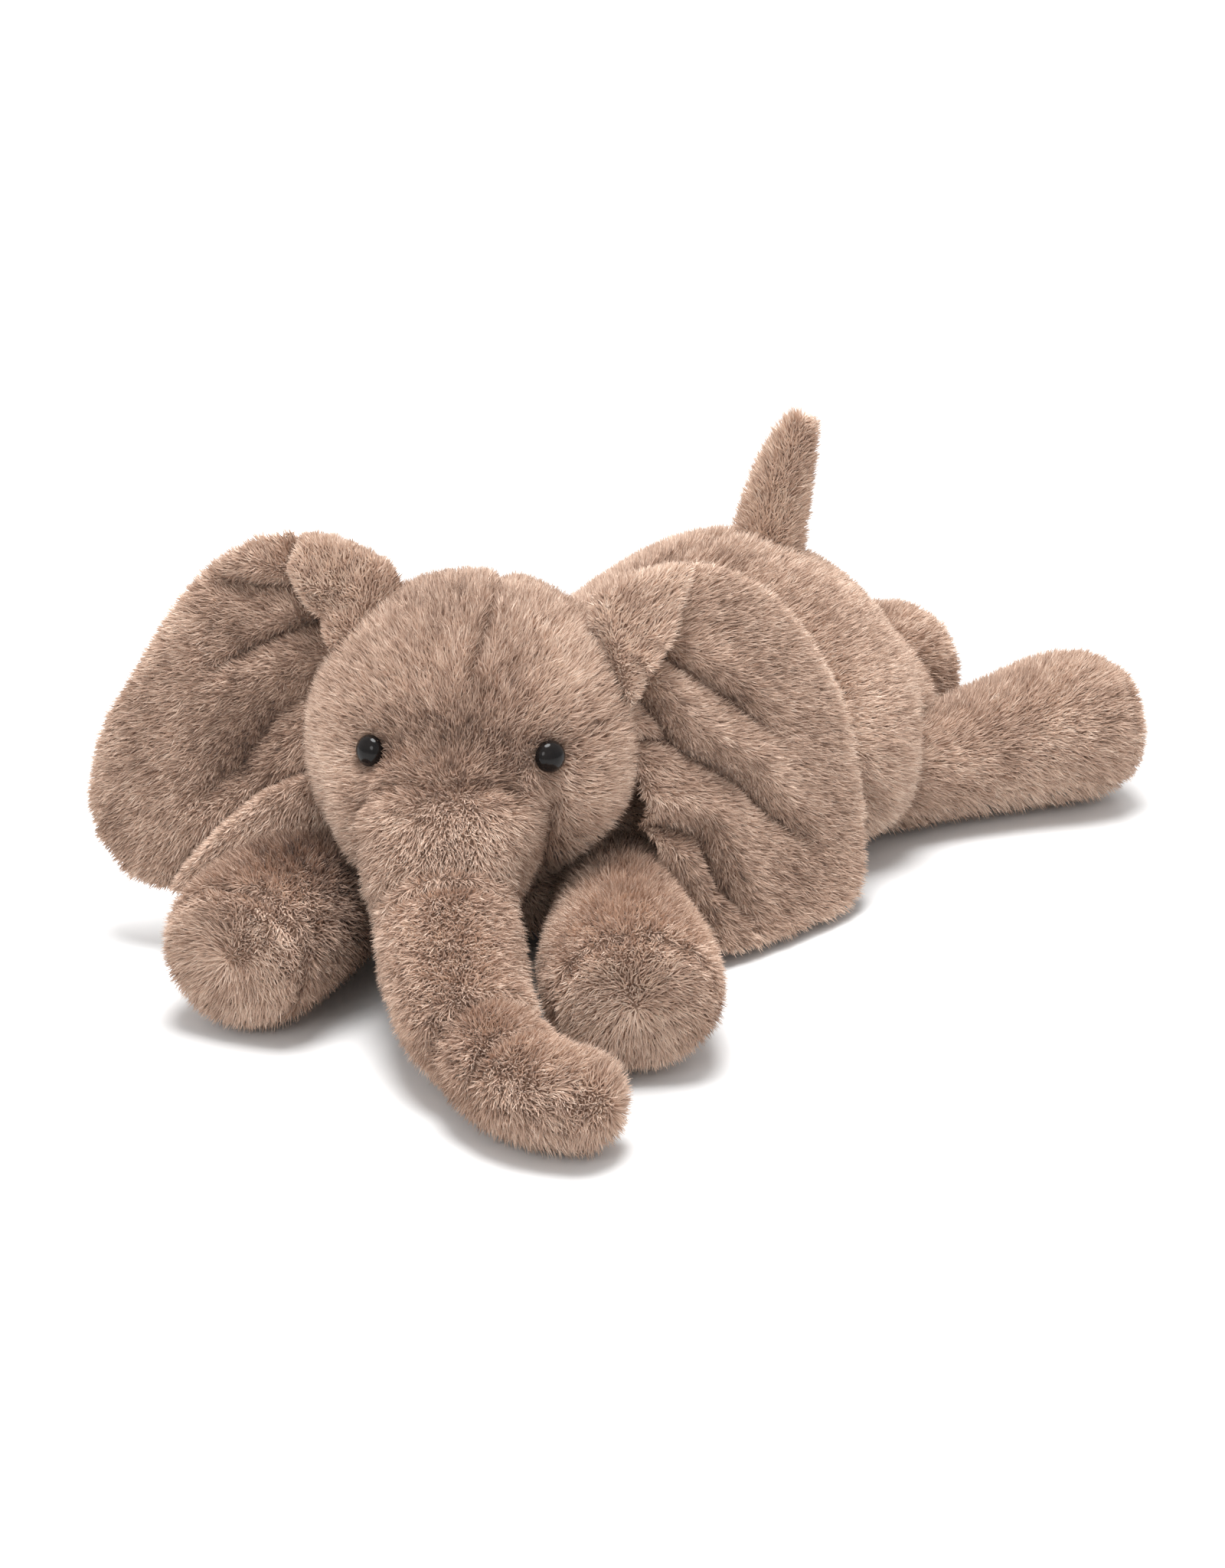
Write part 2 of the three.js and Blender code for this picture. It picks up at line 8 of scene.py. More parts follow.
import bmesh
import bpy
import numpy as np
from mathutils import Matrix, Vector
from mathutils.bvhtree import BVHTree


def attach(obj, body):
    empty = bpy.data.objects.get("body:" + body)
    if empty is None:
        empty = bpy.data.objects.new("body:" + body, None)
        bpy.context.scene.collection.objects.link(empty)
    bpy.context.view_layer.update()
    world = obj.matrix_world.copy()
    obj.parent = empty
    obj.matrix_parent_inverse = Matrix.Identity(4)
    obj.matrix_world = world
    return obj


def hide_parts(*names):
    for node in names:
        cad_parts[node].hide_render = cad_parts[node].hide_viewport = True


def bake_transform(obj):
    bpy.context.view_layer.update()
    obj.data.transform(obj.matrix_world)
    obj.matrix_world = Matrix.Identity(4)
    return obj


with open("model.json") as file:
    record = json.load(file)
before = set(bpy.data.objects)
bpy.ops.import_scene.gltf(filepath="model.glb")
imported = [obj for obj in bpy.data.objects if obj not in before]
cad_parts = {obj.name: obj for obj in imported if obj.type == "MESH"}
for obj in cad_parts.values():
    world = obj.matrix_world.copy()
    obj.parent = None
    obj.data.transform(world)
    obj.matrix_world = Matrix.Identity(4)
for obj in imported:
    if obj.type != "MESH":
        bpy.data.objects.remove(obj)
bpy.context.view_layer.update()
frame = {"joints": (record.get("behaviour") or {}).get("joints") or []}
JOINTS = {joint["name"]: joint for joint in frame["joints"]}

MM = 0.001

# ---------------------------------------------------------------- sizes

NECK = (-14, 22, 60)
HEAD_CENTRE = (0, 0, 62)
HEAD_RADIUS = 45
HEAD_YAW = math.radians(33)
EYE_RADIUS = 4.2
EYE_SEAT = 41.2
EYE_DIRECTION = (0.8, 0.56, 0.2)

CLOTH_DEPTH = 2.5  # the cloth lies this far under the outline, because the pile fills the rest
PILE_LENGTH = 3.9
TUFT_WIDTH = 0.52
PILE_LEAN = 0.75
PILE_CLUMP = 1.5
TUFTS_PER_MM2 = 3.25
TUFTS_PER_PIECE = 48000
PILE_SEED = 7
STUFFING_PRESSURE = 4.0
STUFFING_FRAMES = 20
UNDERSIDE_SHARE = 0.3  # how much of the pile is made where the cloth faces the floor
FLOOR_CLEARANCE = 0.3
NEIGHBOUR_REACH = 40
BURIED_DEPTH = 4.0  # pile that lies deeper than this in a neighbour isn't made

# How much deeper than CLOTH_DEPTH each skin starts, and how far it's then blown up at most.
TUCK = {"body": 1.2, "head": 0.6, "trunk": 0.4, "ear": -0.6, "leg": 0.5}
PUFF = {"body": 2.2, "head": 1.2, "trunk": 1.0, "leg": 1.0}

# How far the bend of a soft part reaches before and after its joint's pivot; across() takes it but bends
# nothing.
BEND_REACH = {"trunk_lift": (10, 8), "trunk_curl": (8, 8), "ear": (4, 10), "leg": (6, 12), "tail": (4, 10)}

# Every station is (x, y, z, half width, half height up, half height down).
BODY = [
    (2, 4, 22, 26, 16, 19),
    (-4, 26, 28, 38, 40, 27),
    (-4, 52, 30, 44, 52, 30),
    (-3, 86, 30, 51, 59.5, 30),
    (0, 116, 30, 61, 59, 30),
    (5, 140, 29, 56, 46, 28),
    (11, 155, 26, 41, 28, 24),
]
TRUNK_ROOT = [
    (10.9, -25.7, 53, 29, 28, 28),
    (17.5, -33.7, 45, 26, 25, 25),
    (24, -42, 36.5, 21.5, 20.5, 20.5),
]
TRUNK_UPPER = [
    (24, -42, 36.5, 19.5, 19.5, 19.5),
    (36, -53.5, 28, 19.5, 19, 19),
    (50, -65.5, 21, 18.5, 18, 18),
    (63, -73, 17.5, 17, 16.5, 16.5),
]
TRUNK_TIP = [
    (63, -73, 17.5, 15.5, 15.5, 15.5),
    (76, -79.5, 16, 16.4, 15.6, 15.6),
    (88, -82, 15.4, 15.6, 15, 15),
    (98, -79.5, 15, 14.4, 14.2, 14.2),
]
LEGS = {
    "front_leg_left": [
        (26, 26, 18.5, 16, 16, 16),
        (40, 10, 19.5, 18, 17, 18),
        (54, -6, 20.5, 20, 19, 19.5),
        (69, -23, 22, 22, 21.5, 21.5),
        (82.5, -37.5, 22, 21.5, 21, 21.5),
    ],
    "front_leg_right": [
        (-29, 14, 18.5, 16, 16, 16),
        (-28, -9, 19.5, 18, 17, 18),
        (-25, -32, 21, 21, 19.5, 20),
        (-19, -58, 23, 23.5, 23, 22.5),
        (-14, -79.5, 23, 23, 22, 22.5),
    ],
    "hind_leg_left": [
        (37, 132, 19, 18, 18, 18),
        (46, 151, 19, 18.5, 17.5, 18),
        (55, 169, 21, 21, 20, 20.5),
        (64, 185, 23.5, 23.5, 22, 23),
        (71, 197, 23, 21.5, 20, 22),
    ],
    "hind_leg_right": [
        (-24, 134, 19, 18, 18, 18),
        (-16, 153, 19.5, 18.5, 17.5, 18.5),
        (-9, 170, 21, 21, 20.5, 20.5),
        (-2, 187, 23.5, 23.5, 22, 23),
        (4, 200, 23, 21.5, 20, 22),
    ],
}
TAIL = [
    (2, 126, 81, 11, 11, 11),
    (2.5, 130, 94, 10, 10, 10),
    (4, 133, 105, 8.5, 8.5, 8.5),
    (6, 135, 113.5, 6.5, 6.5, 6.5),
]

# An ear's outline in its own plane: (out from the root, up from eye level).
EAR_LEFT = [
    (-8, 42), (7, 46), (24, 44), (40, 38.5), (55, 27.5), (66, 12), (73, -5), (76, -22), (75, -40),
    (71, -55), (62, -63), (44, -65), (22, -64.5), (8, -61), (1, -46), (-4, -24), (-7, 0), (-10, 24),
]
EAR_RIGHT = [
    (-19, 43), (-8, 51.5), (7, 54.5), (21, 52), (34, 43.5), (45, 30), (55, 12), (63, -2), (67, -18),
    (66, -30), (60, -40), (50, -46.5), (36, -47), (20, -42), (3, -35), (-9, -20), (-13, 2), (-14, 26),
]
EAR_THICKNESS = 9
EAR_CUP = 5
EAR_FLARE = 5
EAR_FLARE_START = 36
EAR_FLARE_SPAN = 28
EAR_MIDDLE = -4
EAR_CUP_REACH = 30
EAR_CUP_HEIGHT = 80
FOLD_FADE = 0.35  # the share of a fold's line over which it fades out
SOLE_SEAM_WIDTH = 1.7
SOLE_SEAM_DEPTH = 1.5
SOLE_SEAM_BACK = 0.5  # how far the seam lies before a leg's last station
EYE_FLATNESS = 0.72
EYE_BACK_FLATNESS = 0.45
EYE_DIMPLE = (9, 3.2)  # the radius and depth of the cloth pressed in round an eye
MUZZLE_PRESS = (10, 5.5)
CHEEK_REACH = 13
SPINE_STEPS = 60

EAR_OUTLINES = {"left": EAR_LEFT, "right": EAR_RIGHT}

# The free edge of each turned part in the ear's plane, with its height and reach.
EAR_FLAPS = {
    "left": [([(24, 49), (20.5, 39), (13.5, 32), (7.5, 25.5), (-1.5, 17)], 6.5, 26)],
    "right": [
        ([(9, 52), (10.8, 42.6), (8.8, 36.2), (1, 27)], 6.0, 26),
        ([(-4, -8), (5, -11), (16.3, -17), (26.5, -27), (35, -37), (43, -50)], 4.0, 30),
    ],
}

# Creases: their line from the root outwards, depth, width, and the swelling on their left.
EAR_FOLDS = {
    "left": [
        ([(8, 22), (20.9, 12.3), (33.3, 1.4), (46, -12)], 5.0, 2.2, 2.0),
        ([(1, 14), (6.5, 3.6), (12, -5.3), (20.4, -11.5), (30.4, -19.4), (38, -30), (52, -43)],
         7.5, 2.6, 2.4),
        ([(-4, 2), (1.1, 0.7), (10, -3)], 4.0, 1.5, 1.4),
        ([(-4, -21), (1, -22.9), (11.8, -28.4), (15.2, -43.2), (25, -57)], 6.5, 2.4, 2.2),
        ([(-4, -30), (4, -42), (12, -58)], 4.0, 2.2, 1.2),
    ],
    "right": [
        ([(11, 37.4), (19.6, 36.9), (33, 37.4)], 5.5, 2.4, 2.0),
        ([(2, 30), (16.5, 23.7), (34, 13)], 5.5, 2.4, -1.2),
        ([(3, 12), (13.6, 4.8), (23, -10.3), (36, -24)], 6.0, 7.0, 0.0),
    ],
}

# Creases of the face: places forward, left and up from the head's centre, with depth and width.
FACE_WRINKLES = [
    ([(35, 25, -5), (32.1, 23.8, -11), (27.0, 22.2, -21.0), (20, 20, -30)], 5.5, 3.0),
    ([(40, -25, -2), (39.5, -26.6, -7.8), (42, -25.5, -15.1), (40, -24, -24)], 5.5, 3.0),
    ([(42.9, -20.8, 0.8), (45.5, -14.5, 3.7), (47.3, -3.9, 4.6), (44.2, 6.8, 3.9), (39.3, 14.7, 1.2)],
     1.2, 1.6),
    ([(53, -15, -26), (55, -8, -23.5), (56, 2, -22.5), (54, 9, -24)], 1.3, 1.8),
]
CHEEKS = [(24, 32, -8), (28, -32, -8)]
CHEEK_SWELL = 2.4
MUZZLE_HOLLOW = (46, 25, -21)
CROWN_LEAN = 0.25  # how far the seam over the crown leans to the toy's left as it rises

# Creases over the top of the trunk: how far along it from its root, 0 to 1, with depth and width.
TRUNK_WRINKLES = {
    "trunk_upper_skin": [(0.06, 2.6, 1.8), (0.17, 1.6, 1.5), (0.97, 2.2, 1.8)],
    "trunk_tip_skin": [(0.03, 2.0, 1.6), (0.42, 1.4, 1.5)],
}

# How much wider a foot lies than its leg's table, and how that grows along the leg.
FOOT_SPREAD = {"front_leg_left": 2.0, "front_leg_right": 0.0, "hind_leg_left": 0.0, "hind_leg_right": 0.0}
FOOT_SHARES = [0, 0, 0.5, 1, 1]

# The pile's six shades, from the palest, and how many shades darker it is painted, as shade, in a crease,
# on an ear's inner face and on a leg's cover towards its root.
PILE_COLOURS = [
    (238, 216, 198),
    (222, 196, 177),
    (205, 177, 158),
    (182, 153, 134),
    (150, 122, 105),
    (106, 83, 70),
]
CREASE_PAINTED_SHADE = 1.7
EAR_PAINTED_SHADE = {"left": 0.45, "right": 0.1}
LEG_PAINTED_SHADE = {"front_leg_left": 0.3, "front_leg_right": 1.7, "hind_leg_left": 0.0, "hind_leg_right": 0.5}

# ---------------------------------------------------------------- places

UP = np.array((0.0, 0.0, 1.0))
FORWARD = np.array((math.sin(HEAD_YAW), -math.cos(HEAD_YAW), 0.0))
LEFTWARD = np.array((math.cos(HEAD_YAW), math.sin(HEAD_YAW), 0.0))
ORIGIN = np.array(JOINTS["head_nod"]["pos_m"]) / MM - np.array(NECK, float)


def unit(vectors):
    """The same directions with length 1."""
    vectors = np.asarray(vectors, float)
    length = np.linalg.norm(vectors, axis=-1, keepdims=True)
    return vectors / np.maximum(length, 1e-9)


def on_head(forward, left, up):
    """A place on the head, from its centre."""
    return np.array(HEAD_CENTRE, float) + forward * FORWARD + left * LEFTWARD + up * UP


def in_frame(place):
    """A place of the toy in the frame's metres."""
    return Vector((np.asarray(place, float) + ORIGIN) * MM)


def eye_direction(side):
    forward, aside, up = EYE_DIRECTION
    return unit(forward * FORWARD + side * aside * LEFTWARD + up * UP)


def ear_plane(root, out, lean):
    """The plane an ear lies in: its root, and the directions out, up and towards the front."""
    out = unit(out)
    face = unit(np.cross(out, UP))
    face = face if face @ FORWARD > 0 else -face
    up = unit(UP - lean * face)
    face = unit(np.cross(out, up))
    face = face if face @ FORWARD > 0 else -face
    return {"root": np.array(root, float), "out": out, "up": up, "face": face}


EYES = [np.array(HEAD_CENTRE) + EYE_SEAT * eye_direction(side) for side in (1, -1)]
BRIDGE = on_head(40, 0, 2)
EAR_PLANES = {
    "left": ear_plane((36, 22, 62), (0.135, 0.99, 0), 0.28),
    "right": ear_plane(on_head(0, -38, 0), (-0.921, -0.391, 0), 0.25),
}

# ---------------------------------------------------------------- camera and light

AZIMUTH = math.radians(38)
ELEVATION = math.radians(22)
CAMERA_DISTANCE = 1300
CAMERA_ASIDE = 36.1
CAMERA_BELOW = 12.45
LENS = 113.8
SKY_STRENGTH = 0.66
# Each light's name, place in metres, size and power.
LIGHTS = [
    ("key", (0.0, -0.05, 1.6), 0.9, 30),
    ("front", (0.35, -1.4, 0.9), 0.6, 4),
    ("rim", (-0.7, 1.3, 0.9), 0.8, 5),
]
LIGHTS_AIM = (0, 40, 40)


def make_camera():
    back = np.array((
        math.sin(AZIMUTH) * math.cos(ELEVATION),
        -math.cos(AZIMUTH) * math.cos(ELEVATION),
        math.sin(ELEVATION),
    ))
    right = np.array((math.cos(AZIMUTH), math.sin(AZIMUTH), 0.0))
    above = np.cross(back, right)
    aim = np.array(HEAD_CENTRE) + CAMERA_ASIDE * right - CAMERA_BELOW * above
    data = bpy.data.cameras.new("camera")
    data.lens = LENS
    data.sensor_width = 36
    data.clip_start, data.clip_end = 0.05, 20
    camera = bpy.data.objects.new("camera", data)
    camera.location = in_frame(aim + CAMERA_DISTANCE * back)
    camera.rotation_mode = "QUATERNION"
    camera.rotation_quaternion = Vector(-back).to_track_quat("-Z", "Y")
    bpy.context.scene.collection.objects.link(camera)
    bpy.context.scene.camera = camera


def add_light(name, place, size, power):
    data = bpy.data.lights.new(name, "AREA")
    data.shape = "DISK"
    data.size = size
    data.energy = power
    light = bpy.data.objects.new(name, data)
    light.location = place
    beam = in_frame(LIGHTS_AIM) - Vector(place)
    light.rotation_euler = beam.to_track_quat("-Z", "Y").to_euler()
    bpy.context.scene.collection.objects.link(light)


def make_studio():
    world = bpy.data.worlds.new("studio")
    world.use_nodes = True
    background = world.node_tree.nodes["Background"]
    background.inputs["Color"].default_value = (1, 1, 1, 1)
    background.inputs["Strength"].default_value = SKY_STRENGTH
    bpy.context.scene.world = world
    for light in LIGHTS:
        add_light(*light)
    bpy.context.scene.view_settings.view_transform = "Standard"
    bpy.context.scene.view_settings.look = "None"


def make_floor():
    bpy.ops.mesh.primitive_plane_add(size=8, location=(0, 0, 0))
    floor = bpy.context.object
    floor.name = "floor"
    floor.data.materials.append(floor_material())


# ---------------------------------------------------------------- materials


def new_material(name, roughness, colour):
    """A material, its nodes and its shader."""
    material = bpy.data.materials.new(name)
    material.use_nodes = True
    material.diffuse_color = (*colour, 1)
    nodes = material.node_tree.nodes
    shader = nodes["Principled BSDF"]
    shader.inputs["Base Color"].default_value = (*colour, 1)
    shader.inputs["Roughness"].default_value = roughness
    return material, nodes, material.node_tree.links, shader


def linear(red, green, blue):
    """A colour in linear light from its usual 0 to 255 values."""
    share = np.array((red, green, blue)) / 255
    return tuple(np.where(share < 0.04045, share / 12.92, ((share + 0.055) / 1.055) ** 2.4))


def noise(nodes, links, scale, detail):
    """Noise in the object's own space."""
    place = nodes.new("ShaderNodeTexCoord")
    texture = nodes.new("ShaderNodeTexNoise")
    texture.inputs["Scale"].default_value = scale
    texture.inputs["Detail"].default_value = detail
    links.new(place.outputs["Object"], texture.inputs["Vector"])
    return texture


def ramp(nodes, links, value, stops):
    """Colours by value."""
    node = nodes.new("ShaderNodeValToRGB")
    elements = node.color_ramp.elements
    while len(elements) < len(stops):
        elements.new(0.5)
    for element, (position, colour) in zip(elements, stops):
        element.position = position
        element.color = (*colour, 1)
    links.new(value, node.inputs["Fac"])
    return node


def bump(nodes, links, shader, height, strength, distance):
    node = nodes.new("ShaderNodeBump")
    node.inputs["Strength"].default_value = strength
    node.inputs["Distance"].default_value = distance
    links.new(height, node.inputs["Height"])
    links.new(node.outputs["Normal"], shader.inputs["Normal"])


def floor_material():
    material, _, _, shader = new_material("studio_floor", 0.8, (0.86, 0.86, 0.86))
    shader.inputs["Specular IOR Level"].default_value = 0.1
    return material


def cloth_material(name, dark, light):
    """The knitted backing under the pile, with the short dense underfur on it, darker than the pile as
    painted shade among its roots.
    """
    material, nodes, links, shader = new_material(name, 0.95, light)
    broad = noise(nodes, links, 60, 4)
    fine = noise(nodes, links, 900, 2)
    mixed = nodes.new("ShaderNodeMath")
    mixed.operation = "MULTIPLY_ADD"
    mixed.inputs[1].default_value = 0.6
    links.new(fine.outputs["Fac"], mixed.inputs[0])
    half = nodes.new("ShaderNodeMath")
    half.operation = "MULTIPLY"
    half.inputs[1].default_value = 0.4
    links.new(broad.outputs["Fac"], half.inputs[0])
    links.new(half.outputs["Value"], mixed.inputs[2])
    colours = ramp(nodes, links, mixed.outputs["Value"], [(0.35, dark), (0.65, light)])
    links.new(colours.outputs["Color"], shader.inputs["Base Color"])
    bump(nodes, links, shader, fine.outputs["Fac"], 0.6, 0.0006)
    shader.inputs["Sheen Weight"].default_value = 0.3
    return material


def pile_material(name, colour):
    material, _, _, shader = new_material(name, 0.85, colour)
    shader.inputs["Specular IOR Level"].default_value = 0.15
    shader.inputs["Sheen Weight"].default_value = 0.25
    shader.inputs["Sheen Roughness"].default_value = 0.5
    return material


def eye_material():
    """Black moulded plastic with a faint swirl in its polish."""
    material, nodes, links, shader = new_material("eye_gloss", 0.1, (0.008, 0.007, 0.007))
    swirl = noise(nodes, links, 350, 2)
    stops = [(0.3, (0.006, 0.005, 0.005)), (0.7, (0.014, 0.011, 0.01))]
    colours = ramp(nodes, links, swirl.outputs["Fac"], stops)
    links.new(colours.outputs["Color"], shader.inputs["Base Color"])
    shader.inputs["Specular IOR Level"].default_value = 0.22
    return material


# ---------------------------------------------------------------- forms


def spline(rows, count):
    """A smooth curve through the rows, as this many rows."""
    rows = np.array(rows, float)
    held = np.vstack([2 * rows[0] - rows[1], rows, 2 * rows[-1] - rows[-2]])
    out = []
    for value in np.linspace(0, len(rows) - 1, count):
        i = min(int(value), len(rows) - 2)
        t = value - i
        a, b, c, d = held[i : i + 4]
        square, cube = 2 * a - 5 * b + 4 * c - d, 3 * b - a - 3 * c + d
        out.append(0.5 * (2 * b + (c - a) * t + square * t**2 + cube * t**3))
    return np.array(out)


def grid_faces(rings, around):
    """Faces of a tube of rings, each ring closed round."""
    faces = []
    for i in range(rings - 1):
        for j in range(around):
            k = (j + 1) % around
            faces.append((i * around + j, i * around + k, (i + 1) * around + k, (i + 1) * around + j))
    return faces


def stuffed_form(stations, grow=0.0, ends=(1, 1), flat=2.0, peak=2.0, around=40, along=40, caps=8):
    """Oval rings along a smooth spine, closed by a rounded end at each end.

    Flat above 2 squares the lower half; peak below 2 slopes the shoulders of the upper half.
    """
    rows = spline(stations, along + 1)
    tangents = unit(np.gradient(rows[:, :3], axis=0))
    angles = np.linspace(0, 2 * math.pi, around, endpoint=False)
    rings = []
    for ring in range(along + 2 * caps + 1):
        i = min(max(ring - caps, 0), along)
        into = min(1.0, min(ring, along + 2 * caps - ring) / caps)
        fade, push = math.sin(into * math.pi / 2), math.cos(into * math.pi / 2)
        tangent = tangents[i]
        size = rows[i, 3:] + grow
        mean = (size[0] + (size[1] + size[2]) / 2) / 2
        shift = -push * mean * ends[0] if ring < caps else push * mean * ends[1]
        side = unit(np.cross(tangent, FORWARD if abs(tangent[2]) > 0.8 else UP))
        lift = unit(np.cross(side, tangent))
        cos, sin = np.cos(angles), np.sin(angles)
        power = 2 / np.where(sin > 0, peak, flat)
        rise = np.where(sin > 0, size[1], size[2])
        across = np.sign(cos) * np.abs(cos) ** power * size[0] * fade
        upward = np.sign(sin) * np.abs(sin) ** power * rise * fade
        rings.append(rows[i, :3] + shift * tangent + across[:, None] * side + upward[:, None] * lift)
    return np.vstack(rings), grid_faces(len(rings), around)


def head_ball(grow=0.0, around=64, down=40):
    """A ball whose lower half narrows towards the chin and the trunk."""
    theta = np.linspace(0, math.pi, down + 1)
    phi = np.linspace(0, 2 * math.pi, around, endpoint=False)
    x = np.outer(np.sin(theta), np.cos(phi)).ravel()
    y = np.outer(np.sin(theta), np.sin(phi)).ravel()
    z = np.outer(np.cos(theta), np.ones(around)).ravel()
    size = HEAD_RADIUS + grow
    low = np.maximum(0, -z)
    forward = x * size * np.where(x > 0, 1, 0.94)
    left = y * size * (1 - 0.2 * low**2)
    up = z * size * np.where(z > 0, 1, 0.98)
    places = np.outer(forward, FORWARD) + np.outer(left, LEFTWARD) + np.outer(up, UP)
    return np.array(HEAD_CENTRE) + places, grid_faces(down + 1, around)


def closed_curve(points, count):
    """A smooth closed curve through the points."""
    held = points[-2:] + points + points[:3]
    whole = spline(held, (len(held) - 1) * 20 + 1)
    turn = whole[40 : 40 + 20 * len(points)]
    steps = np.linspace(0, len(turn), count, endpoint=False).astype(int)
    return turn[steps]


def ear_form(outline, plane, grow, around=120, rings=26):
    """Both cloth layers of an ear: its outline, filled and cupped, with a soft edge."""
    rim = closed_curve(list(outline), around)
    middle = np.array((np.mean([p[0] for p in outline]), EAR_MIDDLE))
    reach = middle[0] + EAR_CUP_REACH
    half = EAR_THICKNESS / 2 + grow
    rows = []
    for ring in range(2 * rings + 1):
        front = ring <= rings
        share = ring / rings if front else 2 - ring / rings
        spread = math.sin(share * math.pi / 2)
        edge = middle + (rim - middle) * (1 + grow / 55)
        place = middle + (edge - middle) * spread
        depth = half * math.sqrt(max(0.0, 1 - spread**6)) * (1 if front else -1)
        aside = (place[:, 0] - middle[0]) / reach
        cup = EAR_CUP * (1 - aside**2 - (place[:, 1] / EAR_CUP_HEIGHT) ** 2)
        cup += EAR_FLARE * (np.maximum(0, -place[:, 1] - EAR_FLARE_START) / EAR_FLARE_SPAN) ** 2
        rows.append(
            plane["root"]
            + np.outer(place[:, 0], plane["out"])
            + np.outer(place[:, 1], plane["up"])
            + np.outer(cup + depth, plane["face"])
        )
    return np.vstack(rows), grid_faces(2 * rings + 1, around)


# ---------------------------------------------------------------- meshes


def link(name, mesh):
    """An object with this mesh, in the scene."""
    made = bpy.data.objects.new(name, mesh)
    bpy.context.scene.collection.objects.link(made)
    return made


def joined(name, forms):
    """One object from several closed forms, in the frame's metres."""
    points, faces = [], []
    for places, form_faces in forms:
        start = sum(len(p) for p in points)
        points.append(np.asarray(places))
        faces += [tuple(i + start for i in face) for face in form_faces]
    mesh = bpy.data.meshes.new(name)
    mesh.from_pydata(((np.vstack(points) + ORIGIN) * MM).tolist(), [], faces)
    mesh.validate()
    work = bmesh.new()
    work.from_mesh(mesh)
    bmesh.ops.remove_doubles(work, verts=work.verts, dist=1e-7)
    bmesh.ops.dissolve_degenerate(work, edges=work.edges, dist=1e-8)
    bmesh.ops.recalc_face_normals(work, faces=work.faces)
    work.to_mesh(mesh)
    work.free()
    return link(name, mesh)


def settled(skin):
    """The object with its modifiers made permanent."""
    bpy.context.view_layer.update()
    graph = bpy.context.evaluated_depsgraph_get()
    mesh = bpy.data.meshes.new_from_object(skin.evaluated_get(graph))
    skin.modifiers.clear()
    old = skin.data
    skin.data = mesh
    mesh.name = skin.name
    bpy.data.meshes.remove(old)
    return skin


def fused(skin, voxel, rounds):
    """One even closed surface round all the forms, eased where they meet."""
    remesh = skin.modifiers.new("fuse", "REMESH")
    remesh.mode = "VOXEL"
    remesh.voxel_size = voxel * MM
    remesh.use_smooth_shade = True
    ease = skin.modifiers.new("ease", "SMOOTH")
    ease.factor = 0.5
    ease.iterations = rounds
    return settled(skin)


def refined(skin):
    """One subdivision, with smooth shading."""
    divide = skin.modifiers.new("divide", "SUBSURF")
    divide.levels = 1
    divide.render_levels = 1
    settled(skin)
    skin.data.polygons.foreach_set("use_smooth", [True] * len(skin.data.polygons))
    return skin


def places_of(skin):
    """The vertices in the toy's millimetres."""
    flat = np.empty(len(skin.data.vertices) * 3)
    skin.data.vertices.foreach_get("co", flat)
    return flat.reshape(-1, 3) / MM - ORIGIN


def normals_of(skin):
    flat = np.empty(len(skin.data.vertices) * 3)
    skin.data.vertices.foreach_get("normal", flat)
    return flat.reshape(-1, 3)


def move_to(skin, places):
    skin.data.vertices.foreach_set("co", ((places + ORIGIN) * MM).astype(np.float32).ravel())
    skin.data.update()


def puffed(skin, cap):
    """Blows the stuffed cloth up a little, as stuffing does, with no point moving further than cap."""
    start = places_of(skin)
    cloth = skin.modifiers.new("stuffing", "CLOTH")
    cloth.settings.use_pressure = True
    cloth.settings.uniform_pressure_force = STUFFING_PRESSURE
    cloth.settings.effector_weights.gravity = 0
    cloth.point_cache.frame_end = STUFFING_FRAMES
    for number in range(1, STUFFING_FRAMES + 1):
        bpy.context.scene.frame_set(number)
    graph = bpy.context.evaluated_depsgraph_get()
    swollen = skin.evaluated_get(graph)
    flat = np.empty(len(start) * 3)
    swollen.data.vertices.foreach_get("co", flat)
    moved = flat.reshape(-1, 3) / MM - ORIGIN - start
    length = np.linalg.norm(moved, axis=1, keepdims=True)
    skin.modifiers.clear()
    move_to(skin, start + moved * np.minimum(1, cap / np.maximum(length, 1e-6)))
    bpy.context.scene.frame_set(1)
    return skin


def flattened(skin):
    """Presses what lies on the floor flat."""
    places = places_of(skin)
    lowest = CLOTH_DEPTH * 0.35 + FLOOR_CLEARANCE - ORIGIN[2]
    places[:, 2] = np.maximum(places[:, 2], lowest)
    move_to(skin, places)
    return skin


# ---------------------------------------------------------------- sculpting


def falloff(distance, radius):
    return np.exp(-((distance / radius) ** 2))


def mark(skin, share):
    """Remembers where the cloth is creased: the pile is short there, and painted dark as the shade in the
    crease.
    """
    attribute = skin.data.attributes.get("creased") or skin.data.attributes.new("creased", "FLOAT", "POINT")
    marked = np.empty(len(skin.data.vertices))
    attribute.data.foreach_get("value", marked)
    attribute.data.foreach_set("value", np.maximum(marked, np.clip(share, 0, 1)).astype(np.float32))


def creased(skin):
    attribute = skin.data.attributes.get("creased")
    marked = np.zeros(len(skin.data.vertices))
    if attribute:
        attribute.data.foreach_get("value", marked)
    return marked


def press(skin, centre, radius, depth):
    """Pushes the cloth in round a place, or out where depth is negative."""
    places, normals = places_of(skin), normals_of(skin)
    share = falloff(np.linalg.norm(places - np.asarray(centre), axis=1), radius)
    move_to(skin, places - normals * (depth * share)[:, None])


def crease(skin, distance, width, depth, where=1.0):
    """Pushes the cloth in along the line where distance is zero, as far as where allows."""
    places, normals = places_of(skin), normals_of(skin)
    share = falloff(distance, width) * where
    move_to(skin, places - normals * (depth * share)[:, None])
    # the crease is marked, so that its pile is painted darker as shade
    mark(skin, share * depth / 3)


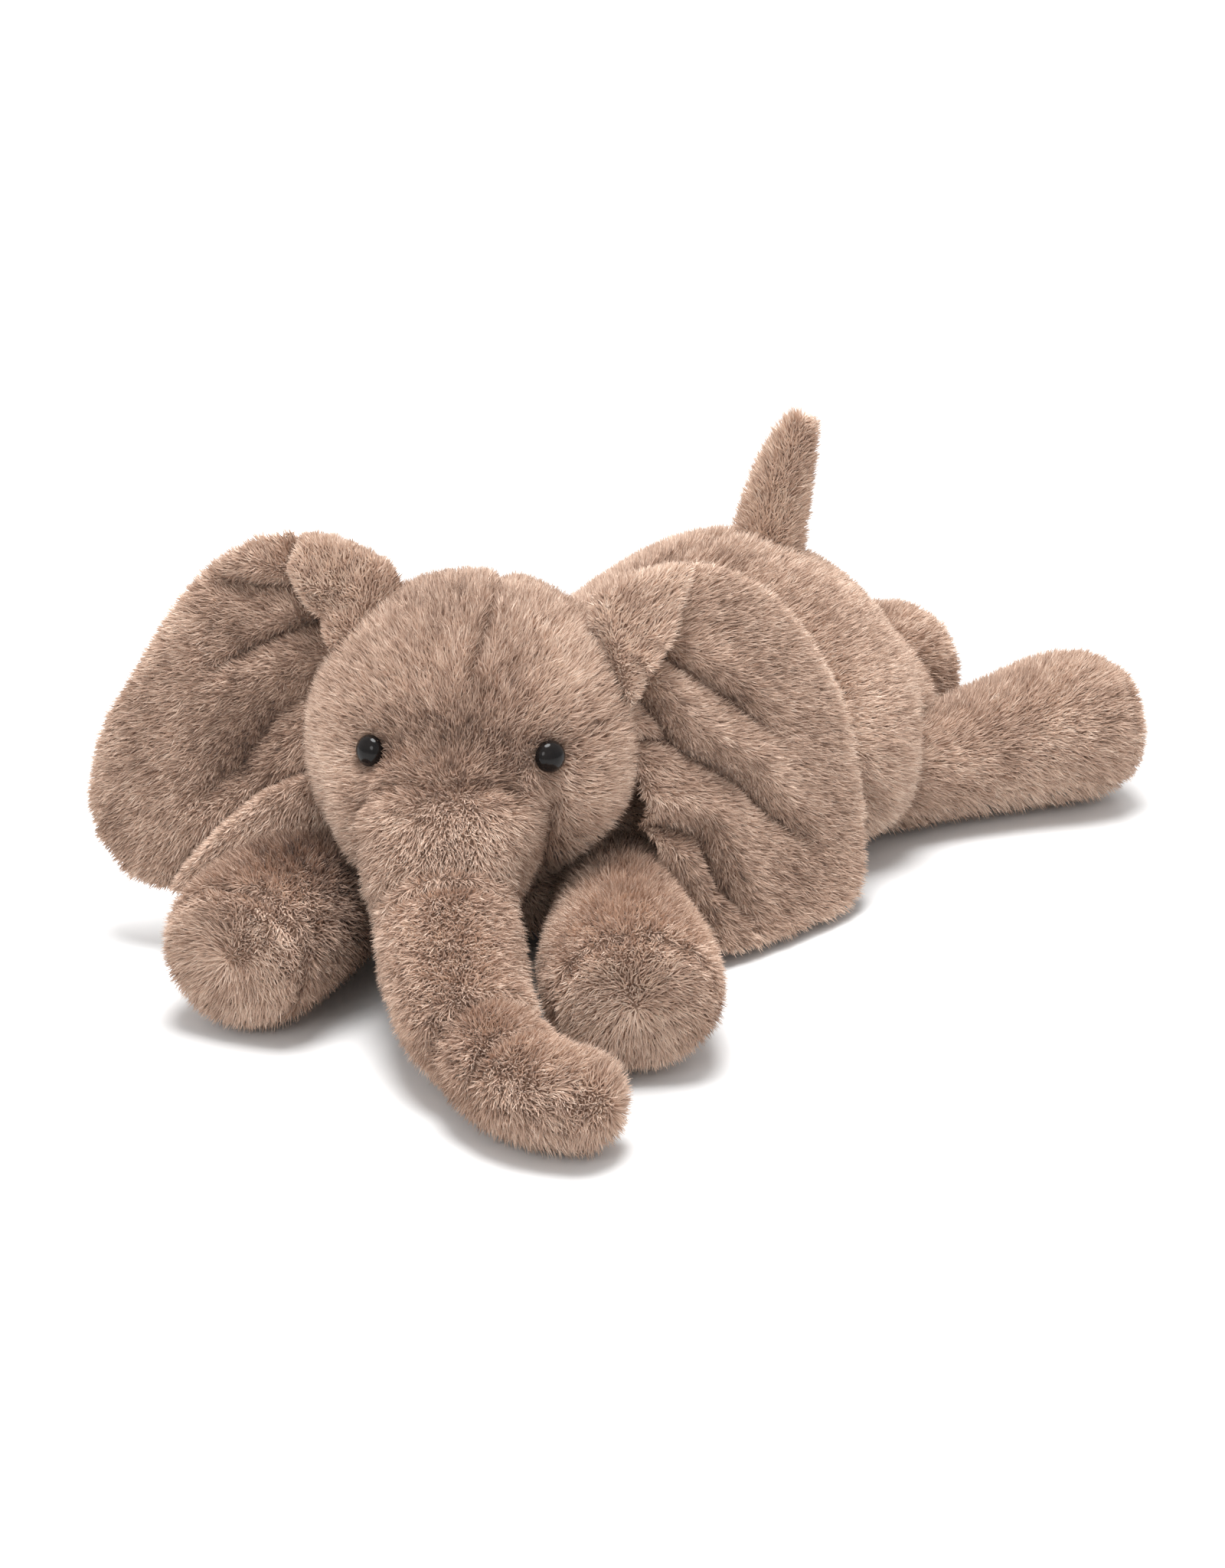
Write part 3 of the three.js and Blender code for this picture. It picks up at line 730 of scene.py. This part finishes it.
def along_line(places, line):
    """Each place's signed distance from a line of points in a plane, and how far along it lies, 0 to 1."""
    line = np.array(line, float)
    lengths = np.linalg.norm(np.diff(line, axis=0), axis=1)
    before = np.concatenate([[0], np.cumsum(lengths)])
    best = np.full(len(places), np.inf)
    signed, share = np.zeros(len(places)), np.zeros(len(places))
    for i, length in enumerate(lengths):
        direction = (line[i + 1] - line[i]) / length
        step = np.clip((places - line[i]) @ direction, 0, length)
        away = places - line[i] - step[:, None] * direction
        distance = np.linalg.norm(away, axis=1)
        nearer = distance < best
        best = np.where(nearer, distance, best)
        turn = np.sign(direction[0] * away[:, 1] - direction[1] * away[:, 0])
        signed = np.where(nearer, distance * turn, signed)
        share = np.where(nearer, (before[i] + step) / before[-1], share)
    return signed, share


def in_plane(places, plane):
    local = places - plane["root"]
    return np.stack([local @ plane["out"], local @ plane["up"]], axis=1)


def fold(skin, plane, line, depth, width, swell):
    """A crease across an ear that fades out at the line's end, with a swollen lip on its left."""
    places = places_of(skin)
    signed, share = along_line(in_plane(places, plane), line)
    strength = np.clip((1 - share) / FOLD_FADE, 0, 1)
    valley = depth * np.exp(-np.abs(signed) / width)
    lip = swell * falloff(signed - 2.6 * width, 2 * width)
    move_to(skin, places + np.outer((lip - valley) * strength, plane["face"]))
    # painted shade: the valley and the ground round it are marked for shorter, darker pile
    shade = 0.8 * np.exp(-np.abs(signed) / (0.6 * width)) + 0.35 * falloff(signed, 2.4 * width)
    mark(skin, shade * strength * depth / 6)


def flap(skin, plane, line, height, reach):
    """Part of an ear turned forward over its front, with its free edge along the line."""
    places = places_of(skin)
    front = np.clip(0.4 + 2 * normals_of(skin) @ plane["face"], 0, 1)
    signed, share = along_line(in_plane(places, plane), line)
    raised = height * np.clip(-signed / 1.4, 0, 1) * np.exp(-((np.minimum(signed, 0) / reach) ** 2))
    under = 0.8 * height * np.exp(-np.maximum(signed, 0) / 3.0) * (signed > 0)
    move_to(skin, places + np.outer((raised - under) * front, plane["face"]))
    # painted shade under the free edge: the pile there is marked shorter and darker
    mark(skin, np.exp(-np.abs(signed - 0.8) / 1.4) * np.clip(1.3 - share, 0, 1) * front)


def wrinkle(skin, line, depth, width):
    """A short crease through places on the cloth."""
    places, normals = places_of(skin), normals_of(skin)
    curve = spline(line, 24)
    distance = np.min(np.linalg.norm(places[:, None] - curve[None], axis=2), axis=1)
    share = np.exp(-np.maximum(distance - 1, 0) / width)
    move_to(skin, places - normals * (depth * share)[:, None])
    # painted shade along the crease, through the creased mark
    mark(skin, share**1.6 * min(1, depth / 3.5))


# ---------------------------------------------------------------- pile


def tangential(directions, normals):
    """The part of each direction that lies along the cloth."""
    inward = np.sum(directions * normals, axis=1, keepdims=True)
    return directions - inward * normals


def store(skin, name, kind, values):
    attribute = skin.data.attributes.new(name, kind, "POINT")
    key = "vector" if kind == "FLOAT_VECTOR" else "value"
    attribute.data.foreach_set(key, np.asarray(values, np.float32).ravel())


def comb(skin, directions, cover=1.0, length=1.0, tone=0.0):
    """Stores how the pile lies: its direction, how dense and long it is, and how dark, with painted shade
    in its creases.
    """
    normals = normals_of(skin)
    cover = cover * np.where(normals[:, 2] < -0.5, UNDERSIDE_SHARE, 1)
    marked = creased(skin)
    lie = tangential(unit(directions), normals)
    store(skin, "lie", "FLOAT_VECTOR", lie)
    store(skin, "cover", "FLOAT", cover)
    store(skin, "length", "FLOAT", length * (1 - 0.5 * marked))
    store(skin, "tone", "FLOAT", tone + CREASE_PAINTED_SHADE * marked)


def spine_directions(places, stations):
    """For each place, the direction of the nearest part of the spine, and outwards at its far end."""
    rows = spline(stations, SPINE_STEPS)[:, :3]
    tangents = unit(np.gradient(rows, axis=0))
    nearest = np.argmin(np.linalg.norm(places[:, None] - rows[None], axis=2), axis=1)
    directions = tangents[nearest].copy()
    beyond_end = (places - rows[-1]) @ tangents[-1]
    outward = unit(tangential(places - rows[-1], np.broadcast_to(tangents[-1], places.shape)))
    share = np.clip(beyond_end / 4, 0, 1)[:, None]
    return directions * (1 - share) + outward * share


def open_share(skin, others):
    """1 where the cloth is open to view and 0 where it lies deep inside a neighbour."""
    share = np.ones(len(skin.data.vertices))
    for other in others:
        surface = BVHTree.FromObject(other, bpy.context.evaluated_depsgraph_get())
        for i, vertex in enumerate(skin.data.vertices):
            place, normal, _, _ = surface.find_nearest(vertex.co, NEIGHBOUR_REACH * MM)
            if place is not None and (vertex.co - place).dot(normal) < -BURIED_DEPTH * MM:
                share[i] = 0
    return share


def node(tree, kind, **settings):
    made = tree.nodes.new(kind)
    for name, value in settings.items():
        setattr(made, name, value)
    return made


def named(tree, name, kind="FLOAT"):
    made = node(tree, "GeometryNodeInputNamedAttribute", data_type=kind)
    made.inputs["Name"].default_value = name
    return made.outputs["Attribute"]


def vector_math(tree, operation, *values):
    made = node(tree, "ShaderNodeVectorMath", operation=operation)
    for socket, value in zip(made.inputs, values):
        if isinstance(value, tuple):
            socket.default_value = value
        else:
            tree.links.new(value, socket)
    return made.outputs["Vector"]


def scaled(tree, vector, factor):
    made = node(tree, "ShaderNodeVectorMath", operation="SCALE")
    tree.links.new(vector, made.inputs[0])
    if isinstance(factor, float):
        made.inputs["Scale"].default_value = factor
    else:
        tree.links.new(factor, made.inputs["Scale"])
    return made.outputs["Vector"]


def number_math(tree, operation, *values):
    made = node(tree, "ShaderNodeMath", operation=operation)
    for socket, value in zip(made.inputs, values):
        if isinstance(value, (int, float)):
            socket.default_value = value
        else:
            tree.links.new(value, socket)
    return made.outputs["Value"]


def random_number(tree, low, high, seed, offset):
    made = node(tree, "FunctionNodeRandomValue", data_type="FLOAT")
    made.inputs[2].default_value = low
    made.inputs[3].default_value = high
    tree.links.new(number_math(tree, "ADD", seed, offset), made.inputs["Seed"])
    return made.outputs[1]


def random_vector(tree, spread, seed, offset):
    made = node(tree, "FunctionNodeRandomValue", data_type="FLOAT_VECTOR")
    made.inputs[0].default_value = (-spread, -spread, -spread)
    made.inputs[1].default_value = (spread, spread, spread)
    tree.links.new(number_math(tree, "ADD", seed, offset), made.inputs["Seed"])
    return made.outputs[0]


def field_noise(tree, scale, detail=2.0):
    made = node(tree, "ShaderNodeTexNoise")
    made.inputs["Scale"].default_value = scale
    made.inputs["Detail"].default_value = detail
    tree.links.new(tree.nodes.new("GeometryNodeInputPosition").outputs["Position"], made.inputs["Vector"])
    return made


def pile_tree(materials):
    """Tufts over a cloth, leaning the way that the cloth's attributes say, in several shades."""
    tree = bpy.data.node_groups.new("pile", "GeometryNodeTree")
    sockets = [("Geometry", "Geometry"), ("Density", "Float"), ("Length", "Float"), ("Width", "Float")]
    sockets += [("Lean", "Float"), ("Clump", "Float"), ("Seed", "Int"), ("Tuft", "Object")]
    for name, kind in sockets:
        tree.interface.new_socket(name, in_out="INPUT", socket_type=f"NodeSocket{kind}")
    tree.interface.new_socket("Geometry", in_out="OUTPUT", socket_type="NodeSocketGeometry")
    given = node(tree, "NodeGroupInput").outputs
    result = node(tree, "NodeGroupOutput")
    links, seed = tree.links, given["Seed"]

    scatter = node(tree, "GeometryNodeDistributePointsOnFaces", distribute_method="RANDOM")
    links.new(given["Geometry"], scatter.inputs["Mesh"])
    density = number_math(tree, "MULTIPLY", given["Density"], named(tree, "cover"))
    links.new(density, scatter.inputs["Density"])
    links.new(seed, scatter.inputs["Seed"])

    drift = vector_math(tree, "SUBTRACT", field_noise(tree, 240).outputs["Color"], (0.5, 0.5, 0.5))
    drift = scaled(tree, drift, given["Clump"])
    wander = random_vector(tree, 0.4, seed, 11)
    lie = scaled(tree, named(tree, "lie", "FLOAT_VECTOR"), given["Lean"])
    heading = scatter.outputs["Normal"]
    for part in (lie, drift, wander):
        heading = vector_math(tree, "ADD", heading, part)
    roll = node(tree, "ShaderNodeCombineXYZ")
    links.new(random_number(tree, 0.0, 6.283, seed, 23), roll.inputs["Z"])
    align = node(tree, "FunctionNodeAlignRotationToVector", axis="Z")
    links.new(roll.outputs["Vector"], align.inputs["Rotation"])
    links.new(heading, align.inputs["Vector"])

    height = number_math(tree, "MULTIPLY", given["Length"], random_number(tree, 0.7, 1.15, seed, 37))
    height = number_math(tree, "MULTIPLY", height, named(tree, "length"))
    size = node(tree, "ShaderNodeCombineXYZ")
    links.new(given["Width"], size.inputs["X"])
    links.new(given["Width"], size.inputs["Y"])
    links.new(height, size.inputs["Z"])

    broad = number_math(tree, "MULTIPLY_ADD", field_noise(tree, 38, 3.0).outputs["Fac"], 4.4, -0.55)
    fine = number_math(tree, "MULTIPLY_ADD", field_noise(tree, 330, 1.0).outputs["Fac"], 3.6, -1.8)
    shade = number_math(tree, "ADD", broad, fine)
    shade = number_math(tree, "ADD", shade, random_number(tree, -1.3, 1.3, seed, 53))
    shade = number_math(tree, "ADD", shade, named(tree, "tone"))
    keep = node(tree, "GeometryNodeStoreNamedAttribute", data_type="FLOAT", domain="POINT")
    keep.inputs["Name"].default_value = "shade"
    links.new(scatter.outputs["Points"], keep.inputs["Geometry"])
    links.new(shade, keep.inputs["Value"])

    tuft = node(tree, "GeometryNodeObjectInfo")
    links.new(given["Tuft"], tuft.inputs["Object"])
    plant = node(tree, "GeometryNodeInstanceOnPoints")
    links.new(keep.outputs["Geometry"], plant.inputs["Points"])
    links.new(tuft.outputs["Geometry"], plant.inputs["Instance"])
    links.new(align.outputs["Rotation"], plant.inputs["Rotation"])
    links.new(size.outputs["Vector"], plant.inputs["Scale"])
    real = node(tree, "GeometryNodeRealizeInstances")
    links.new(plant.outputs["Instances"], real.inputs["Geometry"])

    flow = real.outputs["Geometry"]
    for i, material in enumerate(materials):
        paint = node(tree, "GeometryNodeSetMaterial")
        paint.inputs["Material"].default_value = material
        links.new(flow, paint.inputs["Geometry"])
        if i:
            chosen = number_math(tree, "GREATER_THAN", named(tree, "shade"), i - 0.5)
            links.new(chosen, paint.inputs["Selection"])
        flow = paint.outputs["Geometry"]
    links.new(flow, result.inputs["Geometry"])
    return tree


def tuft_object():
    """A slender three-sided tuft of unit height that points up, closed at its foot."""
    corners = [(math.cos(a) / 2, math.sin(a) / 2, 0) for a in (0, 2 * math.pi / 3, 4 * math.pi / 3)]
    mesh = bpy.data.meshes.new("tuft")
    mesh.from_pydata(corners + [(0, 0, 1)], [], [(0, 2, 1), (0, 1, 3), (1, 2, 3), (2, 0, 3)])
    return link("tuft", mesh)


def area_of(skin):
    """Its area in square millimetres, where it carries pile."""
    cover = np.empty(len(skin.data.vertices))
    skin.data.attributes["cover"].data.foreach_get("value", cover)
    shares = [np.mean(cover[list(face.vertices)]) * face.area for face in skin.data.polygons]
    return sum(shares) / MM**2


def add_pile(skin, name, tree, tuft, seed):
    """The pile of a skin as plain meshes, as many as its number of tufts needs."""
    count = max(1, math.ceil(area_of(skin) * TUFTS_PER_MM2 / TUFTS_PER_PIECE))
    sockets = [item for item in tree.interface.items_tree if item.in_out == "INPUT"]
    identifiers = {socket.name: socket.identifier for socket in sockets}
    made = []
    for number in range(count):
        carrier = skin.copy()
        carrier.data = skin.data.copy()
        bpy.context.scene.collection.objects.link(carrier)
        pile = carrier.modifiers.new("pile", "NODES")
        pile.node_group = tree
        values = {
            "Density": TUFTS_PER_MM2 / count / MM**2,
            "Length": PILE_LENGTH * MM,
            "Width": TUFT_WIDTH * MM,
            "Lean": PILE_LEAN,
            "Clump": PILE_CLUMP,
            "Seed": seed + 100 * number,
            "Tuft": tuft,
        }
        for key, value in values.items():
            pile[identifiers[key]] = value
        settled(carrier)
        carrier.name = f"{name}_{number + 1}" if count > 1 else name
        rest_on_floor(carrier)
        tidy_attributes(carrier)
        made.append(carrier)
    return made


def rest_on_floor(pile):
    places = places_of(pile)
    places[:, 2] = np.maximum(places[:, 2], FLOOR_CLEARANCE - ORIGIN[2])
    move_to(pile, places)


def tidy_attributes(pile):
    for name in ("lie", "cover", "length", "tone", "shade", "creased"):
        attribute = pile.data.attributes.get(name)
        if attribute:
            pile.data.attributes.remove(attribute)


# ---------------------------------------------------------------- the skins


def body_skin():
    shape = {"ends": (0.75, 0.6), "flat": 3.4, "peak": 1.55, "around": 56, "along": 48}
    skin = joined("body_skin", [stuffed_form(BODY, -CLOTH_DEPTH - TUCK["body"], **shape)])
    fused(skin, 3.2, 3)
    puffed(skin, PUFF["body"])
    refined(skin)
    places = places_of(skin)
    spine = np.interp(places[:, 1], [row[1] for row in BODY], [row[0] for row in BODY])
    crease(skin, places[:, 0] - spine, 1.6, 1.8, places[:, 2] > 40)
    return flattened(skin)


def head_skin():
    depth = CLOTH_DEPTH + TUCK["head"]
    root = stuffed_form(TRUNK_ROOT, -depth, ends=(0.3, 0.25))
    skin = joined("head_skin", [head_ball(-depth), root])
    fused(skin, 2.4, 3)
    puffed(skin, PUFF["head"])
    refined(skin)
    for eye in EYES:
        press(skin, eye, *EYE_DIMPLE)
    places = places_of(skin) - np.array(HEAD_CENTRE)
    up = places @ UP
    crown = np.clip((up - 20) / 16, 0, 1) * np.clip((places @ FORWARD + 30) / 20, 0, 1)
    crease(skin, places @ LEFTWARD - CROWN_LEAN * (up - 16), 1.9, 2.4, crown)
    for line, depth, width in FACE_WRINKLES:
        wrinkle(skin, [on_head(*place) for place in line], depth, width)
    for cheek in CHEEKS:
        press(skin, on_head(*cheek), CHEEK_REACH, -CHEEK_SWELL)
    press(skin, on_head(*MUZZLE_HOLLOW), *MUZZLE_PRESS)
    return flattened(skin)


def trunk_skin(name, stations, ends):
    skin = joined(name, [stuffed_form(stations, -CLOTH_DEPTH - TUCK["trunk"], ends=ends)])
    fused(skin, 2.4, 2)
    puffed(skin, PUFF["trunk"])
    refined(skin)
    rows = spline(stations, SPINE_STEPS)[:, :3]
    places = places_of(skin)
    nearest = np.argmin(np.linalg.norm(places[:, None] - rows[None], axis=2), axis=1)
    upper = np.clip((places[:, 2] - rows[nearest, 2]) / 8 + 0.6, 0, 1)
    tangents = unit(np.gradient(rows, axis=0))
    for share, depth, width in TRUNK_WRINKLES[name]:
        i = int(share * (SPINE_STEPS - 1))
        crease(skin, (places - rows[i]) @ tangents[i], width, depth, upper)
    return flattened(skin)


def ear_skin(name, side):
    outline, plane = EAR_OUTLINES[side], EAR_PLANES[side]
    skin = joined(name, [ear_form(outline, plane, -CLOTH_DEPTH - TUCK["ear"])])
    fused(skin, 1.8, 2)
    refined(skin)
    for line, depth, width, swell in EAR_FOLDS[side]:
        fold(skin, plane, line, depth, width, swell)
    for line, height, reach in EAR_FLAPS[side]:
        flap(skin, plane, line, height, reach)
    return flattened(skin)


def leg_skin(name, stations):
    spread = np.outer(FOOT_SHARES, (0, 0, 0, FOOT_SPREAD[name], 0, 0))
    stations = np.array(stations) + spread
    form = stuffed_form(stations, -CLOTH_DEPTH - TUCK["leg"], ends=(1, 0.24), along=30)
    skin = joined(f"{name}_skin", [form])
    fused(skin, 2.4, 1)
    puffed(skin, PUFF["leg"])
    refined(skin)
    crease(skin, past_rim(skin, stations), SOLE_SEAM_WIDTH, SOLE_SEAM_DEPTH)
    return flattened(skin)


def past_rim(skin, stations):
    """How far each place lies past the seam between a leg's cover and its sole."""
    rows = spline(stations, SPINE_STEPS)[:, :3]
    along = unit(rows[-1] - rows[-2])
    return (places_of(skin) - rows[-1]) @ along + SOLE_SEAM_BACK


def tail_skin():
    skin = joined("tail_skin", [stuffed_form(TAIL, -CLOTH_DEPTH, ends=(1, 0.9))])
    fused(skin, 1.8, 2)
    return refined(skin)


# ---------------------------------------------------------------- combing


def comb_head(skin, cover):
    places = places_of(skin)
    away = unit(places - BRIDGE) + 0.35 * UP
    down_trunk = spine_directions(places, TRUNK_ROOT)
    root, tip = np.array(TRUNK_ROOT[0][:3]), np.array(TRUNK_ROOT[2][:3])
    on_trunk = np.clip(((places - root) @ unit(tip - root) - 8) / 14, 0, 1)[:, None]
    directions = away * (1 - on_trunk) + down_trunk * on_trunk
    length, tone = np.ones(len(places)), np.zeros(len(places))
    for eye in EYES:
        distance = np.linalg.norm(places - eye, axis=1)
        near = falloff(distance, 11)[:, None]
        directions = directions * (1 - near) + 1.4 * near * unit(places - eye)
        length *= 1 - 0.3 * falloff(distance, 7)
        # painted shade in the dimple round each eye
        tone += 0.9 * falloff(distance, 7)
        cover = cover * np.clip((distance - 3.2) / 1.2, 0, 1)
    local = places - np.array(HEAD_CENTRE)
    left, up, forward = local @ LEFTWARD, local @ UP, local @ FORWARD
    # painted shade between the eyes, where the nap turns to show the pile's roots
    between_eyes_painted_shade = np.exp(-(((left + 2) / 22) ** 4) - ((up - 9) / 11) ** 4) * (forward > 0)
    # painted light on the toy's left cheek
    left_cheek_painted_light = falloff(np.linalg.norm(places - on_head(*CHEEKS[0]), axis=1), 14)
    comb(skin, directions, cover, length - 0.15 * between_eyes_painted_shade, tone + 1.0 * between_eyes_painted_shade - 1.0 * left_cheek_painted_light)


def comb_along(skin, stations, cover, tone=0.0, droop=0.25):
    places = places_of(skin)
    directions = spine_directions(places, stations) - droop * UP
    comb(skin, directions, cover, 1.0, tone)


def comb_leg(skin, stations, cover, shade):
    places = places_of(skin)
    past = past_rim(skin, stations)
    length = 1 - 0.2 * falloff(past, 2.2)
    # painted shade towards the leg's root, as much as shade says; darker along the sole seam and paler on
    # the sole
    tone = 0.3 * falloff(past, 1.6) - 0.35 * np.clip(past, 0, 1) + shade * np.clip(-past / 30, 0, 1)
    comb(skin, spine_directions(places, stations) - 0.25 * UP, cover, length, tone)


def comb_body(skin, cover):
    comb(skin, np.broadcast_to((0.05, 1.0, -0.45), (len(skin.data.vertices), 3)), cover)


def comb_ear(skin, side, cover):
    """The pile fans out from the root; it is short and painted pale, as light, along the rim and on the
    turned corner, and painted darker, as shade, on the inner face.
    """
    plane, places = EAR_PLANES[side], places_of(skin)
    start = plane["root"] + 14 * plane["up"] - 10 * plane["out"]
    rim = closed_curve(list(EAR_OUTLINES[side]), 160)
    flat = in_plane(places, plane)
    near_rim = falloff(np.min(np.linalg.norm(flat[:, None] - rim[None], axis=2), axis=1), 6)
    facing = normals_of(skin) @ plane["face"]
    length = 0.4 + 0.45 * np.abs(facing)
    # painted shade on the inner face and painted light along the rim
    tone = EAR_PAINTED_SHADE[side] * np.clip(facing, 0, 1) * (1 - near_rim) - 0.2 * near_rim
    line, _, reach = EAR_FLAPS[side][0]
    signed, _ = along_line(flat, line)
    # painted light on the front of the turned corner
    tone -= 1.0 * (signed < 0) * falloff(signed, reach) * (facing > 0)
    comb(skin, unit(places - start) - 0.2 * UP, cover, length, tone)


# ---------------------------------------------------------------- eyes


def make_eye(side):
    """A moulded bead with a rounded rim, proud of the cloth."""
    name = "left" if side > 0 else "right"
    centre, direction = EYES[0 if side > 0 else 1], eye_direction(side)
    bpy.ops.mesh.primitive_uv_sphere_add(segments=40, ring_count=24, radius=EYE_RADIUS * MM)
    bead = bpy.context.object
    bead.name = f"eye_bead_{name}"
    turn = Vector(direction).to_track_quat("Z", "Y").to_matrix().to_4x4()
    for vertex in bead.data.vertices:
        vertex.co.z *= EYE_FLATNESS if vertex.co.z > 0 else EYE_BACK_FLATNESS
    bead.data.transform(Matrix.Translation(in_frame(centre)) @ turn)
    bead.data.polygons.foreach_set("use_smooth", [True] * len(bead.data.polygons))
    bead.data.materials.append(EYE_GLOSS)
    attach(bead, "head")
    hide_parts(f"eye_{name}", f"eye_washer_{name}")


# ---------------------------------------------------------------- on their bodies


def across(skin, parent, child, joint, direction, reach):
    """The skin and its pile, with their pile attributes taken off and their placing made part of their
    meshes.
    """
    pivot, direction = np.array(JOINTS[joint]["pos_m"]), unit(direction)
    for piece in [skin, *piles[skin.name]]:
        tidy_attributes(piece)
        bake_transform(piece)


def carried(skin, body_name):
    """The skin and its pile ride on one body."""
    for piece in [skin, *piles[skin.name]]:
        tidy_attributes(piece)
        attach(piece, body_name)


def leading(stations):
    """The direction in which a stuffed part leaves the one before it."""
    return np.subtract(stations[1][:3], stations[0][:3])


# ---------------------------------------------------------------- making


make_camera()
make_studio()
make_floor()
EYE_GLOSS = eye_material()
CLOTH = cloth_material("plush_backing", linear(120, 95, 80), linear(165, 139, 121))
PILE = [pile_material(f"pile_{i + 1}", linear(*colour)) for i, colour in enumerate(PILE_COLOURS)]

body = body_skin()
head = head_skin()
trunk_upper = trunk_skin("trunk_upper_skin", TRUNK_UPPER, (1, 0.3))
trunk_tip = trunk_skin("trunk_tip_skin", TRUNK_TIP, (1, 0.85))
ears = {side: ear_skin(f"ear_{side}_skin", side) for side in EAR_PLANES}
legs = {name: leg_skin(name, stations) for name, stations in LEGS.items()}
tail = tail_skin()

skins = [body, head, trunk_upper, trunk_tip, tail, *ears.values(), *legs.values()]
shown = {skin.name: open_share(skin, [other for other in skins if other is not skin]) for skin in skins}
comb_body(body, shown[body.name])
comb_head(head, shown[head.name])
comb_along(trunk_upper, TRUNK_UPPER, shown[trunk_upper.name])
comb_along(trunk_tip, TRUNK_TIP, shown[trunk_tip.name])
comb_along(tail, TAIL, shown[tail.name], tone=-0.3, droop=0)
for side, ear in ears.items():
    comb_ear(ear, side, shown[ear.name])
for name, leg in legs.items():
    comb_leg(leg, LEGS[name], shown[leg.name], LEG_PAINTED_SHADE[name])

tree = pile_tree(PILE)
tuft = tuft_object()
piles = {}
for number, skin in enumerate(skins):
    skin.data.materials.clear()
    skin.data.materials.append(CLOTH)
    piles[skin.name] = add_pile(skin, skin.name.replace("_skin", "_pile"), tree, tuft, PILE_SEED + number)
bpy.data.objects.remove(tuft)


carried(body, "torso")
carried(head, "head")
lift, curl = BEND_REACH["trunk_lift"], BEND_REACH["trunk_curl"]
across(trunk_upper, "head", "trunk_upper", "trunk_lift", leading(TRUNK_UPPER), lift)
across(trunk_tip, "trunk_upper", "trunk_tip", "trunk_curl", leading(TRUNK_TIP), curl)
for side, ear in ears.items():
    across(ear, "head", f"ear_{side}", f"ear_{side}_swing", EAR_PLANES[side]["out"], BEND_REACH["ear"])
for name, leg in legs.items():
    across(leg, "torso", name, f"{name}_swing", leading(LEGS[name]), BEND_REACH["leg"])
across(tail, "torso", "tail", "tail_bend", UP, BEND_REACH["tail"])

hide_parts("body_cover_left", "body_cover_right", "belly_gusset", "body_stuffing", "belly_bean_bag")
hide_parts("neck_stuffing")
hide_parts("head_cover_left", "head_cover_right", "chin_gusset", "head_stuffing")
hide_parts("trunk_cover_upper", "trunk_stuffing_upper")
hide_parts("trunk_cover_tip", "trunk_stuffing_tip")
for side, ear in ears.items():
    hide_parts(f"ear_front_{side}", f"ear_back_{side}")
for name, leg in legs.items():
    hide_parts(*[f"{name}_{part}" for part in ("cover", "sole", "stuffing", "bean_bag")])
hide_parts("tail_cover", "tail_stuffing")

make_eye(1)
make_eye(-1)
